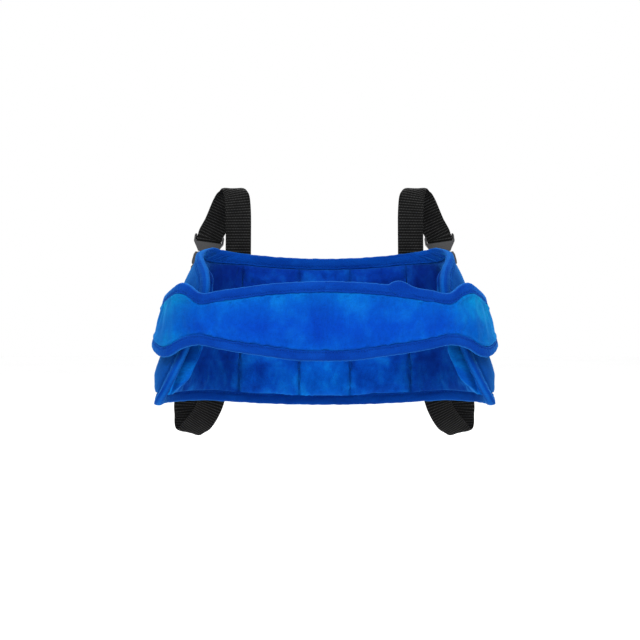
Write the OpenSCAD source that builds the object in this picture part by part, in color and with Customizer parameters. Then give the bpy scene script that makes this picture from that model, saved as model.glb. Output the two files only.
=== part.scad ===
// Child head support for a car seat: a quilted pad with two side wings, a padded front
// band that hook patches hold to the wings, and two buckled webbing loops that go round
// the seat's head restraint.
// Frame: the origin is the middle of the flat back face. +X is to the right seen from the
// front, +Y points out of the back and +Z is up. Millimetres.

/* [Pad] */
// Half thickness of the stuffed pad
pad_half = 11; // [9:0.5:12]
// Half thickness of the flat sewn edge
edge_half = 2; // [1.8:0.1:2.4]
// Width of the flat sewn edge
edge_w = 9; // [8:0.5:10]
// Width of the round shoulder between the edge and the full thickness
shoulder_w = 22; // [16:1:26]
// Half width of the pad at its bottom edge
reach_low = 140.5; // [134:0.5:144]
// Half width of the pad at its top edge
reach_top = 109; // [104:0.5:114]
// Radius of the bend into the wing at the bottom edge
bend_low = 54; // [48:1:56]
// Radius of the bend into the wing at the top edge
bend_top = 34; // [30:1:38]
// Angle that a wing turns through, upper part
wrap_mid = 126; // [116:1:128]
// Angle that a wing turns through, bottom edge
wrap_low = 96; // [90:1:104]
// How far the bottom edge sits towards the outside of the pad
low_shift = 4; // [0:0.5:5]
// Height of the bottom edge in the middle
pad_bottom = -77.5; // [-82:0.5:-75]
// Height of the top edge in the middle
pad_top = 55.2; // [53:0.1:60]
// How deep the upper edge of a band tab presses into a wing
dent_high = 4.5; // [3:0.5:5]
// How deep the lower edge of a band tab presses into a wing
dent_low = 1.8; // [1:0.2:3]

/* [Channels] */
// Distance from the middle to the inner seams
inner_seam = 23.5; // [20:0.5:28]
// Distance from the middle to the outer seams
outer_seam = 78; // [72:1:82]
// Gap between two foam pieces at a seam
seam_gap = 3; // [2:0.5:5]

/* [Band] */
// Half thickness of the band in the middle
band_half = 4.6; // [3.8:0.2:4.8]
// Half thickness of the band's end tabs
tab_half = 3.1; // [2.6:0.1:3.2]
// Thickness of the tape that binds every edge
tape_t = 1.1; // [0.8:0.1:1.2]

/* [Webbing] */
// Width of the webbing
web_w = 24; // [23:0.5:25]
// Thickness of the webbing
web_t = 1.3; // [1.1:0.1:1.4]

/* [Buckle] */
// Tilt of the buckles towards the middle
buckle_tilt = 8; // [6:0.5:10]
// Width of the socket across its latch windows
socket_w = 26.8; // [26.4:0.2:27.6]
// Outer thickness of the socket
socket_t = 9; // [8.6:0.2:10]
// Radius of the bars that the webbing turns round
bar_r = 1.5; // [1.3:0.1:1.6]

/* [Hidden] */

$fn = 48;
blue = "#0a4fb4";
deep_blue = "#08409a";
velour_blue = "#1455a8";
black = "#1c1c1c";
grey = "#3a3b3e";

// ---- Shape of the pad -------------------------------------------------------------
// u runs across the pad from -1 (left wing edge) to 1, and v up it from 0 to 1.
// n is the distance from the middle surface, positive towards the outside.
low_run = 193;       // run of cloth from the middle to the wing edge, at the bottom
wide_run = 208;      // the same where the wing is longest
top_run = 115;       // the same at the top
wide_v = 0.35;
low_rise = 5;        // how far the bottom edge rises from the middle to the sides
top_rise = 10.5;     // the same for the top edge
rise_run = 112;
inner_u = 0.15;
outer_u = 0.5;
rim_u = 0.8;         // where the round shoulder of the wing edge starts
rim_w = edge_w + shoulder_w;
pad_h = pad_top - pad_bottom;

function clamp(x, low, high) = min(high, max(low, x));
function smooth(x) = let (t = clamp(x, 0, 1)) t * t * (3 - 2 * t);
function dome(x) = sqrt(1 - pow(1 - clamp(x, 0, 1), 2));
function reach(v) = reach_low - (reach_low - reach_top) * pow(max(v, 0), 1.5);
function bend(v) = bend_low - (bend_low - bend_top) * v * v;
function wrap(v) = wrap_mid - (wrap_mid - wrap_low) * pow(max(0, 0.4 - v) / 0.4, 2);
function full_run(v) = v > wide_v
    ? top_run + (wide_run - top_run) * (1 - pow((v - wide_v) / (1 - wide_v), 3.4))
    : wide_run - (wide_run - low_run) * pow((wide_v - v) / wide_v, 2);
function outer_run(v) = outer_seam + 2 - 5 * v;

// Point of a level cut through the pad, s along the cloth and n outside it
function cut(v, s, n) =
    let (flat = reach(v) - bend(v), r = bend(v), q = abs(s), turn = wrap(v))
    let (arc = r * turn * PI / 180, t = clamp((q - flat) / r * 180 / PI, 0, turn))
    let (past = max(0, q - flat - arc), level = min(q, flat))
    [sign(s) * (level + (r + n) * sin(t) + past * cos(t)),
     (r + n) * cos(t) - r - past * sin(t) - pad_half];

function run(u, v) =
    let (q = abs(u))
    sign(u) * (q < inner_u ? inner_seam * q / inner_u
        : q < outer_u ? inner_seam + (outer_run(v) - inner_seam) * (q - inner_u) / (outer_u - inner_u)
        : full_run(v) - side_gap(u, v));

function rise(s) = pow(min(1, abs(s) / rise_run), 2);
function pad_z(u, v) =
    let (low = pad_bottom + low_rise * rise(run(u, 0)), high = pad_top + top_rise * rise(run(u, 1)))
    low + (high - low) * v;
function pad_point(u, v, n) =
    let (p = cut(v, run(u, v), n))
    [p[0], p[1], pad_z(u, v)];

// Distance along the cloth to the wing's edge
function side_gap(u, v) = abs(u) > rim_u
    ? rim_w * (1 - abs(u)) / (1 - rim_u)
    : rim_w + (full_run(v) - outer_run(v) - rim_w) * (rim_u - abs(u)) / (rim_u - outer_u);

// Half thickness: flat at the sewn edge, then a round shoulder up to the full thickness
function shoulder(d) = dome((d - edge_w) / shoulder_w);
function half_at(gap, v) = edge_half + (pad_half - edge_half)
    * shoulder(gap) * shoulder(v * pad_h) * shoulder((1 - v) * pad_h);
function half_t(u, v) = half_at(side_gap(u, v), v);

// The sewn edge lies nearer the outside low down, so the middle surface shifts there
function edge_share(half) = (pad_half - half) / (pad_half - edge_half);
function shift(half, v) = low_shift * pow(max(0, 0.45 - v) / 0.45, 2) * edge_share(half);

// Dents that a band tab's edges leave in the outside of a wing, s along the cloth
function dent_at(s, half, v) = smooth((s - outer_run(v)) / 15) * (1 - edge_share(half))
    * (dent_high * smooth((v - 0.6) / 0.13) * smooth((0.88 - v) / 0.1)
        + 2.5 * exp(-pow((v - 0.95) / 0.09, 2))
        + dent_low * exp(-pow((v - 0.32) / 0.07, 2)));
function outside(u, v) = half_t(u, v) - dent_at(abs(run(u, v)), half_t(u, v), v);
function layer_point(u, v, n) = pad_point(u, v, n + shift(half_t(u, v), v));

// Grid lines: close together over the shoulder, wide apart elsewhere
foam_edge = edge_w + 0.13 * shoulder_w;
rim_lines = [rim_w, edge_w + 0.6 * shoulder_w, edge_w + 0.32 * shoulder_w, foam_edge, edge_w, 0];
function reversed(list) = [for (i = [len(list) - 1:-1:0]) list[i]];
seam_u = seam_gap / 2 / (outer_seam - inner_seam) * (outer_u - inner_u);
wing_us = concat([outer_u + seam_u, 0.56, 0.62, 0.68, 0.74], [for (d = rim_lines) 1 - d / rim_w * (1 - rim_u)]);
half_us = concat([inner_u, 0.27, 0.39, outer_u], wing_us);
pad_us = concat(-reversed(half_us), [0], half_us);
pad_vs = concat(reversed(rim_lines) / pad_h, [0.3, 0.34, 0.38, 0.44, 0.5, 0.6, 0.65, 0.7], [for (d = rim_lines) 1 - d / pad_h]);

// ---- Solids made from grids of points ------------------------------------------------
function quad(a, b, c, d) = [[a, b, c], [a, c, d]];

// Closed sheet between two grids of points, front nearer the viewer than back
module slab(front, back) {
    rows = len(front) - 1;
    cols = len(front[0]) - 1;
    w = cols + 1;
    far = (rows + 1) * w;
    skins = [for (i = [0:rows - 1]) for (j = [0:cols - 1])
        let (a = i * w + j)
        each concat(quad(a, a + w, a + w + 1, a + 1),
            quad(far + a, far + a + 1, far + a + w + 1, far + a + w))];
    level_rims = [for (j = [0:cols - 1])
        let (a = rows * w + j)
        each concat(quad(j, j + 1, far + j + 1, far + j), quad(a + 1, a, far + a, far + a + 1))];
    side_rims = [for (i = [0:rows - 1])
        let (a = i * w, b = i * w + cols)
        each concat(quad(a + w, a, far + a, far + a + w), quad(b, b + w, far + b + w, far + b))];
    polyhedron(concat([for (r = front) each r], [for (r = back) each r]),
        concat(skins, level_rims, side_rims), convexity = 8);
}

// Solid swept through rings of points, open with flat ends or closed on itself
module sweep(rings, closed = false) {
    count = len(rings);
    w = len(rings[0]);
    last = closed ? count - 1 : count - 2;
    walls = [for (i = [0:last]) for (j = [0:w - 1])
        let (a = i * w, b = ((i + 1) % count) * w, k = (j + 1) % w)
        each quad(a + j, a + k, b + k, b + j)];
    ends = closed ? [] : [[for (j = [w - 1:-1:0]) j], [for (j = [0:w - 1]) (count - 1) * w + j]];
    polyhedron([for (r = rings) each r], concat(walls, ends), convexity = 8);
}

// Smooth curve through the knots, at knot number t
function knot_near(knots, i) = i < 0 ? 2 * knots[0] - knots[1]
    : i > len(knots) - 1 ? 2 * knots[len(knots) - 1] - knots[len(knots) - 2]
    : knots[i];
function curve(knots, t) =
    let (i = min(len(knots) - 2, floor(t)), f = t - i)
    let (a = knot_near(knots, i - 1), b = knots[i], c = knots[i + 1], d = knot_near(knots, i + 2))
    0.5 * (2 * b + (c - a) * f + (2 * a - 5 * b + 4 * c - d) * f * f
        + (3 * b - a - 3 * c + d) * f * f * f);

// ---- Pad pieces ---------------------------------------------------------------------
cover_t = 0.9;       // velour outer cover
plush_t = 1.4;       // plush inner face with its backing
layer_gap = 0.3;

module pad_layer(us, vs, near, far) {
    slab([for (v = vs) [for (u = us) layer_point(u, v, near(u, v))]],
        [for (v = vs) [for (u = us) layer_point(u, v, far(u, v))]]);
}

module back_cover() {
    color(velour_blue)
    pad_layer(pad_us, pad_vs,
        function (u, v) outside(u, v) - cover_t,
        function (u, v) outside(u, v));
}

// Overstuffed plush rolls inwards beside the tape on the lower part of each wing
roll_depth = 6;
function roll_at(gap, v) = roll_depth * smooth((gap - edge_w - 4) / 6) * smooth((50 - gap) / 32)
    * smooth((0.66 - v) / 0.25) * smooth((v - 0.075) / 0.14);
function inside(u, v) = -half_t(u, v) - roll_at(side_gap(u, v), v);

module plush_face() {
    color(blue)
    pad_layer(pad_us, pad_vs,
        function (u, v) inside(u, v),
        function (u, v) plush_t + inside(u, v));
}

// Foam keeps clear of the covers, a little more where the shoulder is steep
function foam_slack(u, v) = 0.3 + 0.9 * (pad_half - half_t(u, v)) / (pad_half - edge_half);
foam_vs = [for (v = pad_vs) if (v * pad_h > edge_w + 0.1 && (1 - v) * pad_h > edge_w + 0.1) v];

module foam(us) {
    color("#e8e4d8")
    pad_layer(us, foam_vs,
        function (u, v) plush_t + foam_slack(u, v) - half_t(u, v),
        function (u, v) outside(u, v) - cover_t - foam_slack(u, v));
}

module foam_centre() {
    foam([-inner_u + seam_u, 0, inner_u - seam_u]);
}

module foam_inner(side) {
    us = [inner_u + seam_u, 0.27, 0.39, outer_u - seam_u];
    foam(side > 0 ? us : -reversed(us));
}

wing_steps = 12;
module foam_wing(side) {
    us = [for (u = wing_us) if (side_gap(u, 0.5) > edge_w + 0.1) u];
    foam(side > 0 ? us : -reversed(us));
}

// Folded tape round the whole sewn edge. Each station is [u, v, out to the side, out up].
tape_gap = 0.45;
tape_w = edge_w - 0.4;
function tape_profile(half) =
    let (inner = half + tape_gap, outer = half + tape_gap + tape_t, past = -tape_gap)
    [[tape_w, outer], [past - tape_t, outer], [past - tape_t, -outer], [tape_w, -outer],
     [tape_w, -inner], [past, -inner], [past, inner], [tape_w, inner]];

function edge_stations(us, vs) = concat(
    [for (i = [0:len(us) - 1]) [us[i], 0, i == 0 ? -1 : i == len(us) - 1 ? 1 : 0, -1]],
    [for (i = [1:len(vs) - 2]) [1, vs[i], 1, 0]],
    [for (i = [len(us) - 1:-1:0]) [us[i], 1, i == 0 ? -1 : i == len(us) - 1 ? 1 : 0, 1]],
    [for (i = [len(vs) - 2:-1:1]) [-1, vs[i], -1, 0]]);

function pad_inset(s, d) = [s[0] - s[2] * d / rim_w * (1 - rim_u), s[1] - s[3] * d / pad_h];

module pad_binding() {
    rings = [for (s = edge_stations(pad_us, pad_vs))
        [for (p = tape_profile(edge_half)) let (q = pad_inset(s, p[0]))
            pad_point(q[0], q[1], p[1] + shift(edge_half, q[1]))]];
    color(deep_blue)
    sweep(rings, closed = true);
}

// Rows of thread that quilt the pad into channels, on the plush side
thread = 0.8;
module channel_stitching() {
    vs = [for (v = pad_vs) if (v > 0.08 && v < 0.92) v];
    color(deep_blue)
    for (u = [-outer_u, -inner_u, inner_u, outer_u]) {
        step = 0.004;
        sweep([for (v = vs) [for (c = [[-1, 1], [1, 1], [1, 2], [-1, 2]])
            layer_point(u + c[0] * step, v, -half_t(u, v) - c[1] * thread / 2 + 0.15)]]);
    }
}

// ---- Shape of the band ----------------------------------------------------------------
// w runs from 0 in the middle of the band to 7 at the end of a tab, and v up it.
knot_y = [-139, -137.5, -132, -118, -103, -76, -46, -20];
knot_x = [0, 46, 86, 116, 131, 142, 143, 130];
knot_lean = [0, 0, 0, 0.35, 0.8, 1, 1, 1];
wing_clear = [0, 0, 0, 5.2, 5.1, 5.1, 5.1, 5.1];
// Heights of the band's edges at every half knot
band_top = [29.7, 29, 27.5, 24.8, 22.4, 20.4, 27.7, 29.3, 27.1, 23.4, 20.3, 19, 18.4, 18, 18];
band_low = [-31.6, -31.2, -28.2, -25.4, -22.1, -19, -21.8, -27.7, -29.6, -27, -23, -20.5,
    -19.5, -19.2, -19];
band_end = 7;
knot_run = 25;       // run of cloth in the last knot of a tab
band_edge = 7.8;
band_shoulder = 9.5;
band_rim = band_edge + band_shoulder;
tab_start = 3.5;
split_gap = 0.012;
lean_v = 0.51;

function band_v(z) = clamp((z - pad_bottom - low_rise) / (pad_h + top_rise - low_rise), 0, 1);
// Outside of a wing in a level cut, a little proud of it where its tape is
function wing_outline(v) = [for (i = [0:30])
    let (s = 40 + (full_run(v) - 40) * i / 30)
    let (gap = full_run(v) - s)
    let (half = half_at(gap, v))
    cut(v, s, half + shift(half, v) - dent_at(s, half, v) + (gap < edge_w + 2 ? tape_t + tape_gap : 0))];

// The band's knot k at height z: it leans with the wing and never comes closer than allowed
function band_knot(k, outline, v) =
    let (d = wing_clear[k], y = knot_y[k])
    let (touch = [for (p = outline) if (abs(p[1] - y) < d) p[0] + sqrt(d * d - pow(p[1] - y, 2))])
    [max(concat([knot_x[k] + knot_lean[k] * (reach(v) - reach(lean_v))], touch)), y];
function band_knots(z) =
    let (v = band_v(z), outline = wing_outline(v))
    [for (k = [0:band_end]) band_knot(k, outline, v)];

// Height up the band: v = 0.25 and 0.75 are where its round shoulders end
rim_v = 0.25;
// Height of an edge, level in the middle of the band
function band_edge_at(knots, w) = curve(concat([knots[1]], knots), 1 + 2 * abs(w));
function band_foot(w) = band_edge_at(band_low, w);
function band_h(w) = band_edge_at(band_top, w) - band_foot(w);
function band_up(w, v) = v < rim_v ? band_rim * v / rim_v
    : v > 1 - rim_v ? band_h(w) - band_rim * (1 - v) / rim_v
    : band_rim + (band_h(w) - 2 * band_rim) * (v - rim_v) / (1 - 2 * rim_v);
function band_z(q, v) = band_foot(q) + band_up(q, v);
function band_normal(knots, q) =
    let (step = 0.02, t = curve(knots, min(band_end, q + step)) - curve(knots, max(0, q - step)))
    q < 0.01 ? [0, -1] : [t[1], -t[0]] / norm(t);
function band_point(w, v, n) =
    let (q = min(abs(w), band_end), z = band_z(q, v), knots = band_knots(z))
    let (m = band_normal(knots, q), past = abs(w) - q)
    let (p = curve(knots, q) + n * m + past * knot_run * [-m[1], m[0]])
    [(w < 0 ? -1 : 1) * p[0], p[1], z];

function band_dome(d) = dome((d - band_edge) / band_shoulder);
function band_half_t(w, v) =
    let (full = abs(w) < 2 ? band_half : abs(w) > 4 ? tab_half
        : band_half + (tab_half - band_half) * (abs(w) - 2) / 2)
    let (up = band_up(w, v), end_gap = (band_end - abs(w)) * knot_run)
    edge_half + (full - edge_half)
        * band_dome(up) * band_dome(band_h(w) - up) * band_dome(end_gap);

band_lines = [0, band_edge, band_edge + 0.32 * band_shoulder, band_edge + 0.64 * band_shoulder, band_rim];
band_low_vs = band_lines / band_rim * rim_v;
band_vs = concat(band_low_vs, [0.5], [for (v = reversed(band_low_vs)) 1 - v]);
filled_vs = [for (v = band_vs) if (v > band_low_vs[1] + 0.01 && v < 0.99 - band_low_vs[1]) v];
centre_half = [0.5, 1, 1.5, 2, 2.3, 2.6, 2.8, 3, 3.2, tab_start - split_gap];
centre_ws = concat(-reversed(centre_half), [0], centre_half);
tab_ws = [tab_start + split_gap, 3.75, 4, 4.25, 4.5, 4.75, 5, 5.5, 6, 6.35, band_end - band_edge / knot_run, band_end];
lining_t = 0.9;

module band_layer(ws, vs, near, far) {
    slab([for (v = vs) [for (w = ws) band_point(w, v, near(w, v))]],
        [for (v = vs) [for (w = ws) band_point(w, v, far(w, v))]]);
}
function mirrored(ws, side) = side > 0 ? ws : -reversed(ws);

module band_outer(ws) {
    color(blue)
    band_layer(ws, band_vs,
        function (w, v) band_half_t(w, v),
        function (w, v) band_half_t(w, v) - 1.2);
}
module band_inner(ws) {
    color(velour_blue)
    band_layer(ws, band_vs,
        function (w, v) lining_t - band_half_t(w, v),
        function (w, v) -band_half_t(w, v));
}
function band_foam_slack(w, v) = 0.2 + 0.15 * (band_half - band_half_t(w, v));
module band_filling(ws) {
    color("#e8e4d8")
    band_layer(ws, filled_vs,
        function (w, v) band_half_t(w, v) - 1.2 - band_foam_slack(w, v),
        function (w, v) lining_t + band_foam_slack(w, v) - band_half_t(w, v));
}

module band_face() {
    band_outer(centre_ws);
}
module band_lining() {
    band_inner(centre_ws);
}
module band_foam() {
    band_filling(centre_ws);
}

// Tape along the band's long edges: a folded strip above and below
band_tape_w = band_edge - 0.4;
function band_inset(v, up, d) = v - up * d / band_rim * rim_v;
band_tape = [for (p = reversed(tape_profile(edge_half))) [min(p[0], band_tape_w), p[1]]];
module band_binding() {
    color(deep_blue)
    for (up = [-1, 1]) {
        v0 = up > 0 ? 1 : 0;
        last = len(centre_ws) - 1;
        rings = [for (i = [0:last])
            let (w = centre_ws[up > 0 ? last - i : i])
            [for (p = band_tape) band_point(w, band_inset(v0, up, p[0]), p[1])]];
        sweep(rings);
    }
}

module tab_face(side) {
    band_outer(mirrored(tab_ws, side));
}
module tab_lining(side) {
    band_inner(mirrored(tab_ws, side));
}
module tab_foam(side) {
    band_filling(mirrored([for (w = tab_ws) if (w < 6.5) w], side));
}
// Tape round a tab's three free edges
module tab_binding(side) {
    ws = tab_ws;
    last = len(ws) - 1;
    stations = concat(
        [for (i = [0:last]) [ws[i], 0, i == last ? 1 : 0, -1]],
        [for (i = [1:len(band_vs) - 2]) [band_end, band_vs[i], 1, 0]],
        [for (i = [last:-1:0]) [ws[i], 1, i == last ? 1 : 0, 1]]);
    rings = [for (s = stations)
        [for (p = band_tape)
            band_point(s[0] - s[2] * p[0] / knot_run, band_inset(s[1], s[3], p[0]), p[1])]];
    color(deep_blue)
    if (side > 0) sweep(rings);
    else mirror([1, 0, 0]) sweep(rings);
}
// Hook tape sewn to the inside of a tab
hook_gap = 0.2;
hook_t = 0.8;
module hook_patch(side) {
    ws = [for (w = tab_ws) if (w > 4.2 && w < 6.4) w];
    color(black)
    band_layer(mirrored(ws, side), filled_vs,
        function (w, v) -band_half_t(w, v) - hook_gap,
        function (w, v) -band_half_t(w, v) - hook_gap - hook_t);
}

// ---- Webbing, all drawn on the right and mirrored for the left --------------------------
// A knot is [x, y, z, width direction x, y, z].
buckle_at = [114.4, 41, 66.5];
up_x = -sin(buckle_tilt);
up_z = cos(buckle_tilt);
wrap_r = bar_r + 0.2 + web_t / 2;
plug_bar_z = 13.4;
socket_bar_z = -39.2;
run_y = 1;

// Knot in the buckle's own frame: z along it and y towards the back
function at_buckle(z, y) = [buckle_at[0] + up_x * z, buckle_at[1] + y, buckle_at[2] + up_z * z,
    up_z, 0, -up_x];
function smooth_run(knots, steps) = [for (i = [0:(len(knots) - 1) * steps]) curve(knots, i / steps)];
// Half turn round a bar, from the face at y = from_y * wrap_r to the other face
function bar_turn(z, from_y, below) = [for (a = [0:30:180])
    at_buckle(z + (below ? -1 : 1) * wrap_r * sin(a), from_y * wrap_r * cos(a))];

upper_knots = [
    [80.5, 1.1, 24, 1, 0, 0], [81, 1.1, 45, 1, 0, 0], [81.2, 1.3, 62, 1, 0, 0],
    [81.2, 3, 82, 1, 0, 0], [81.5, 6, 102, 1, 0, 0], [82.8, 12, 119.5, 1, 0, 0],
    [86.5, 20.5, 126.3, 1, 0, -0.05], [92, 30.5, 120, 0.97, 0, 0.22], [98.3, 35.5, 110.5, 0.91, 0, 0.4],
    [103.7, 38.2, 99, 0.93, 0, 0.36], [108.6, 39.4, 88.4, 0.98, 0, 0.2]];
upper_tail = [at_buckle(17, run_y + 1), [108.2, 42.4, 90, 0.97, 0, 0.22], [103.6, 42, 98, 0.94, 0, 0.33]];
lower_knots = [
    [97.5, -0.7, -38, 0.96, -0.22, 0.1], [101, -1, -55, 0.95, -0.24, 0.18],
    [106, 0, -75, 0.94, -0.16, 0.3], [110.5, 4, -85.5, 0.9, -0.1, 0.42],
    [116.5, 10, -94.8, 0.88, -0.04, 0.46], [123.8, 18, -102.8, 0.96, 0, 0.28],
    [130, 26, -108.5, 0.97, 0, 0.24], [134, 35, -104.5, 0.98, 0, 0.18],
    [134.6, 40.5, -92, 0.99, 0, 0.14], at_buckle(-148, 0.9), at_buckle(-110, run_y),
    at_buckle(-75, run_y), at_buckle(-46, run_y)];
lower_tail = [at_buckle(-44, -run_y), at_buckle(-54, -run_y), at_buckle(-64, -run_y)];

// Flat webbing along a list of knots
module webbing(path) {
    last = len(path) - 1;
    place = [for (p = path) [p[0], p[1], p[2]]];
    rings = [for (i = [0:last])
        let (t = place[min(last, i + 1)] - place[max(0, i - 1)], along = t / norm(t))
        let (w0 = [path[i][3], path[i][4], path[i][5]], w1 = w0 - (w0 * along) * along)
        let (side = w1 / norm(w1) * web_w / 2, thick = cross(along, side) / norm(side) * web_t / 2)
        [place[i] - side + thick, place[i] + side + thick, place[i] + side - thick,
         place[i] - side - thick]];
    color(black)
    sweep(rings);
}
module on_side(side) {
    if (side > 0) children();
    else mirror([1, 0, 0]) children();
}

module upper_strap(side) {
    on_side(side)
    webbing(concat(smooth_run(upper_knots, 3), bar_turn(plug_bar_z, -1, true),
        smooth_run(upper_tail, 2)));
}
module lower_strap(side) {
    on_side(side)
    webbing(concat(smooth_run(lower_knots, 3), bar_turn(socket_bar_z, 1, false),
        smooth_run(lower_tail, 2)));
}

// Box of thread with a cross in it, flat on the XZ plane
module box_stitch(w, h) {
    t = 0.8;
    for (x = [-w / 2, w / 2]) translate([x - t / 2, 0, -h / 2]) cube([t, 0.5, h]);
    for (z = [-h / 2, h / 2]) translate([-w / 2, 0, z - t / 2]) cube([w, 0.5, t]);
}
module strap_stitching(side) {
    color("#2a2a2c")
    on_side(side) {
        translate([80.8, 2.1, 36]) box_stitch(19, 18);
        translate([99.4, 0.25, -46]) rotate([0, 0, -13.5]) rotate([0, 11, 0]) box_stitch(18, 15);
    }
}

// ---- Buckles, drawn upright about their own middle and set in place ----------------------
module at_place(side) {
    on_side(side)
    translate(buckle_at) rotate([0, -buckle_tilt, 0]) children();
}
// Plate of an outline drawn in x and z, with its thickness along y
module plate(t) {
    rotate([90, 0, 0])
    linear_extrude(t, center = true) children();
}

slot_w = web_w + 1.3;
ear_w = slot_w + 3.4;
panel_top = 10;
ear_top = 16.6;
plug_t = 7;
tongue_len = 24;

// Outline of the plug's right half, from its neck up to the ear and down into the slot
plug_half = [[9.2, 0], [9.8, 1.5], [ear_w / 2, panel_top - 1], [ear_w / 2, ear_top - 1.5],
    [ear_w / 2 - 0.8, ear_top], [slot_w / 2, ear_top], [slot_w / 2, panel_top]];
module mirrored_outline(half) {
    polygon(concat(half, [for (p = reversed(half)) [-p[0], p[1]]]));
}
module bar(z) {
    translate([0, 0, z]) rotate([0, 90, 0]) cylinder(h = slot_w + 2, r = bar_r, center = true);
}
module buckle_plug(side) {
    color(grey)
    at_place(side)
    union() {
        plate(plug_t) mirrored_outline(plug_half);
        bar(plug_bar_z);
        translate([-1.6, -1.5, -tongue_len]) cube([3.2, 3, tongue_len + 1]);
    }
}

// A latch arm bows out through the socket's window, and its shoulder catches the window's top
arm_t = 4.4;
catch_z = -14;
module arm_outline() {
    polygon([[5.6, -0.6], [9, -0.6], [10, -6], [10.4, -11], [10.4, catch_z], [12.7, catch_z],
        [13.8, catch_z - 2], [13.8, catch_z - 6], [12.8, catch_z - 9], [10.2, catch_z - 11.5],
        [9.2, -29], [7.6, -29.6], [7, -24], [7.8, -14], [7.2, -6]]);
}
module buckle_arm(side, inner) {
    color(grey)
    at_place(side)
    mirror([inner ? 1 : 0, 0, 0]) plate(arm_t) arm_outline();
}

socket_top = -1;
socket_end = -34;
socket_foot_w = ear_w;
cavity_w = 22;
cavity_t = 5.2;
window_top = -13.6;
window_low = -26.2;
grip_r = 8;          // round finger grips cut into both sides
grip_x = socket_w / 2 + 4.2;
socket_half = [[11.2, socket_top], [12.6, socket_top - 3], [socket_w / 2, socket_top - 9],
    [socket_w / 2, -27], [socket_foot_w / 2, socket_end + 1], [socket_foot_w / 2, socket_bar_z + 1],
    [socket_foot_w / 2 - 0.8, socket_bar_z - 2.4], [slot_w / 2, socket_bar_z - 2.4],
    [slot_w / 2, socket_end]];
module buckle_socket(side) {
    color(grey)
    at_place(side)
    difference() {
        union() {
            plate(socket_t) mirrored_outline(socket_half);
            bar(socket_bar_z);
        }
        translate([-cavity_w / 2, -cavity_t / 2, socket_end + 2.4])
            cube([cavity_w, cavity_t, socket_top - socket_end]);
        translate([-socket_w, -cavity_t / 2, window_low])
            cube([2 * socket_w, cavity_t, window_top - window_low]);
        for (m = [-1, 1]) translate([m * grip_x, 0, (window_top + window_low) / 2])
            rotate([90, 0, 0]) cylinder(h = socket_t + 2, r = grip_r, center = true);
    }
}

back_cover();
plush_face();
foam_centre();
foam_inner(-1);  // foam_inner_left
foam_inner(1);  // foam_inner_right
foam_wing(-1);  // foam_wing_left
foam_wing(1);  // foam_wing_right
pad_binding();
channel_stitching();
band_face();
band_lining();
band_foam();
band_binding();
tab_face(-1);  // tab_face_left
tab_lining(-1);  // tab_lining_left
tab_foam(-1);  // tab_foam_left
tab_binding(-1);  // tab_binding_left
hook_patch(-1);  // hook_patch_left
tab_face(1);  // tab_face_right
tab_lining(1);  // tab_lining_right
tab_foam(1);  // tab_foam_right
tab_binding(1);  // tab_binding_right
hook_patch(1);  // hook_patch_right
upper_strap(-1);  // upper_strap_left
upper_strap(1);  // upper_strap_right
lower_strap(-1);  // lower_strap_left
lower_strap(1);  // lower_strap_right
strap_stitching(-1);  // strap_stitching_left
strap_stitching(1);  // strap_stitching_right
buckle_socket(-1);  // buckle_socket_left
buckle_socket(1);  // buckle_socket_right
buckle_plug(-1);  // buckle_plug_left
buckle_plug(1);  // buckle_plug_right
buckle_arm(-1, false);  // buckle_arm_left_outer
buckle_arm(-1, true);  // buckle_arm_left_inner
buckle_arm(1, false);  // buckle_arm_right_outer
buckle_arm(1, true);  // buckle_arm_right_inner
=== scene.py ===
"""Looks of the child head support: a quilted pad with curled wings, a soft front band with
end tabs, and two webbing loops with side release buckles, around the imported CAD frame.

Shapes are worked out in millimetres with the same formulas as the CAD source, and every
mesh is made in metres in the row frame: +X right seen from the front, +Y out of the back.
"""

import math

import bpy
import numpy as np
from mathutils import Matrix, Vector


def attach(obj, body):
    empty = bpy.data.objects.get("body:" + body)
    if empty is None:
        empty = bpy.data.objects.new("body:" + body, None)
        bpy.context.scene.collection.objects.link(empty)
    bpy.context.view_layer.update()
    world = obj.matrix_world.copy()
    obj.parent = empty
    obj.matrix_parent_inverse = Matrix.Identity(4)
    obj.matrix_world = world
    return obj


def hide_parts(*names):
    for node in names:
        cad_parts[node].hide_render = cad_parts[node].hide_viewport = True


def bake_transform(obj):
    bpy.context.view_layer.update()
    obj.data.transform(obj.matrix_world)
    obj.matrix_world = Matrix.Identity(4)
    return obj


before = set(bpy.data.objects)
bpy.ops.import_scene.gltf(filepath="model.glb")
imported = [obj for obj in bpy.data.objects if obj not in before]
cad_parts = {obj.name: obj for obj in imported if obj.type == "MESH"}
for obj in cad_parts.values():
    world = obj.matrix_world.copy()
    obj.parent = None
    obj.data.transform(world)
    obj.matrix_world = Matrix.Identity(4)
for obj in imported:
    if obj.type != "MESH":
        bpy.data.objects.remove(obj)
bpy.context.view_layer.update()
scene = bpy.context.scene
MM = 0.001
SIDES = ("left", -1), ("right", 1)

# ---- Small helpers ----


def clamp(x, low=0.0, high=1.0):
    return np.minimum(np.maximum(x, low), high)


def dome(x):
    return np.sqrt(1 - (1 - clamp(x)) ** 2)


def smooth(x):
    t = clamp(x)
    return t * t * (3 - 2 * t)


def bell(x, width):
    return np.exp(-((x / width) ** 2))


def unit(vectors):
    return vectors / np.maximum(np.linalg.norm(vectors, axis=-1, keepdims=True), 1e-9)


def with_ends(knots, axis=0):
    """The knots with one more at each end, in line with the last two."""
    knots = np.moveaxis(np.asarray(knots, float), axis, 0)
    more = np.concatenate([2 * knots[:1] - knots[1:2], knots, 2 * knots[-1:] - knots[-2:-1]])
    return np.moveaxis(more, 0, axis)


def weigh(a, b, c, d, f):
    """Point of a smooth curve through four knots, the share f of the way from b to c."""
    return 0.5 * (2 * b + (c - a) * f + (2 * a - 5 * b + 4 * c - d) * f**2
                  + (3 * b - a - 3 * c + d) * f**3)


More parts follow.
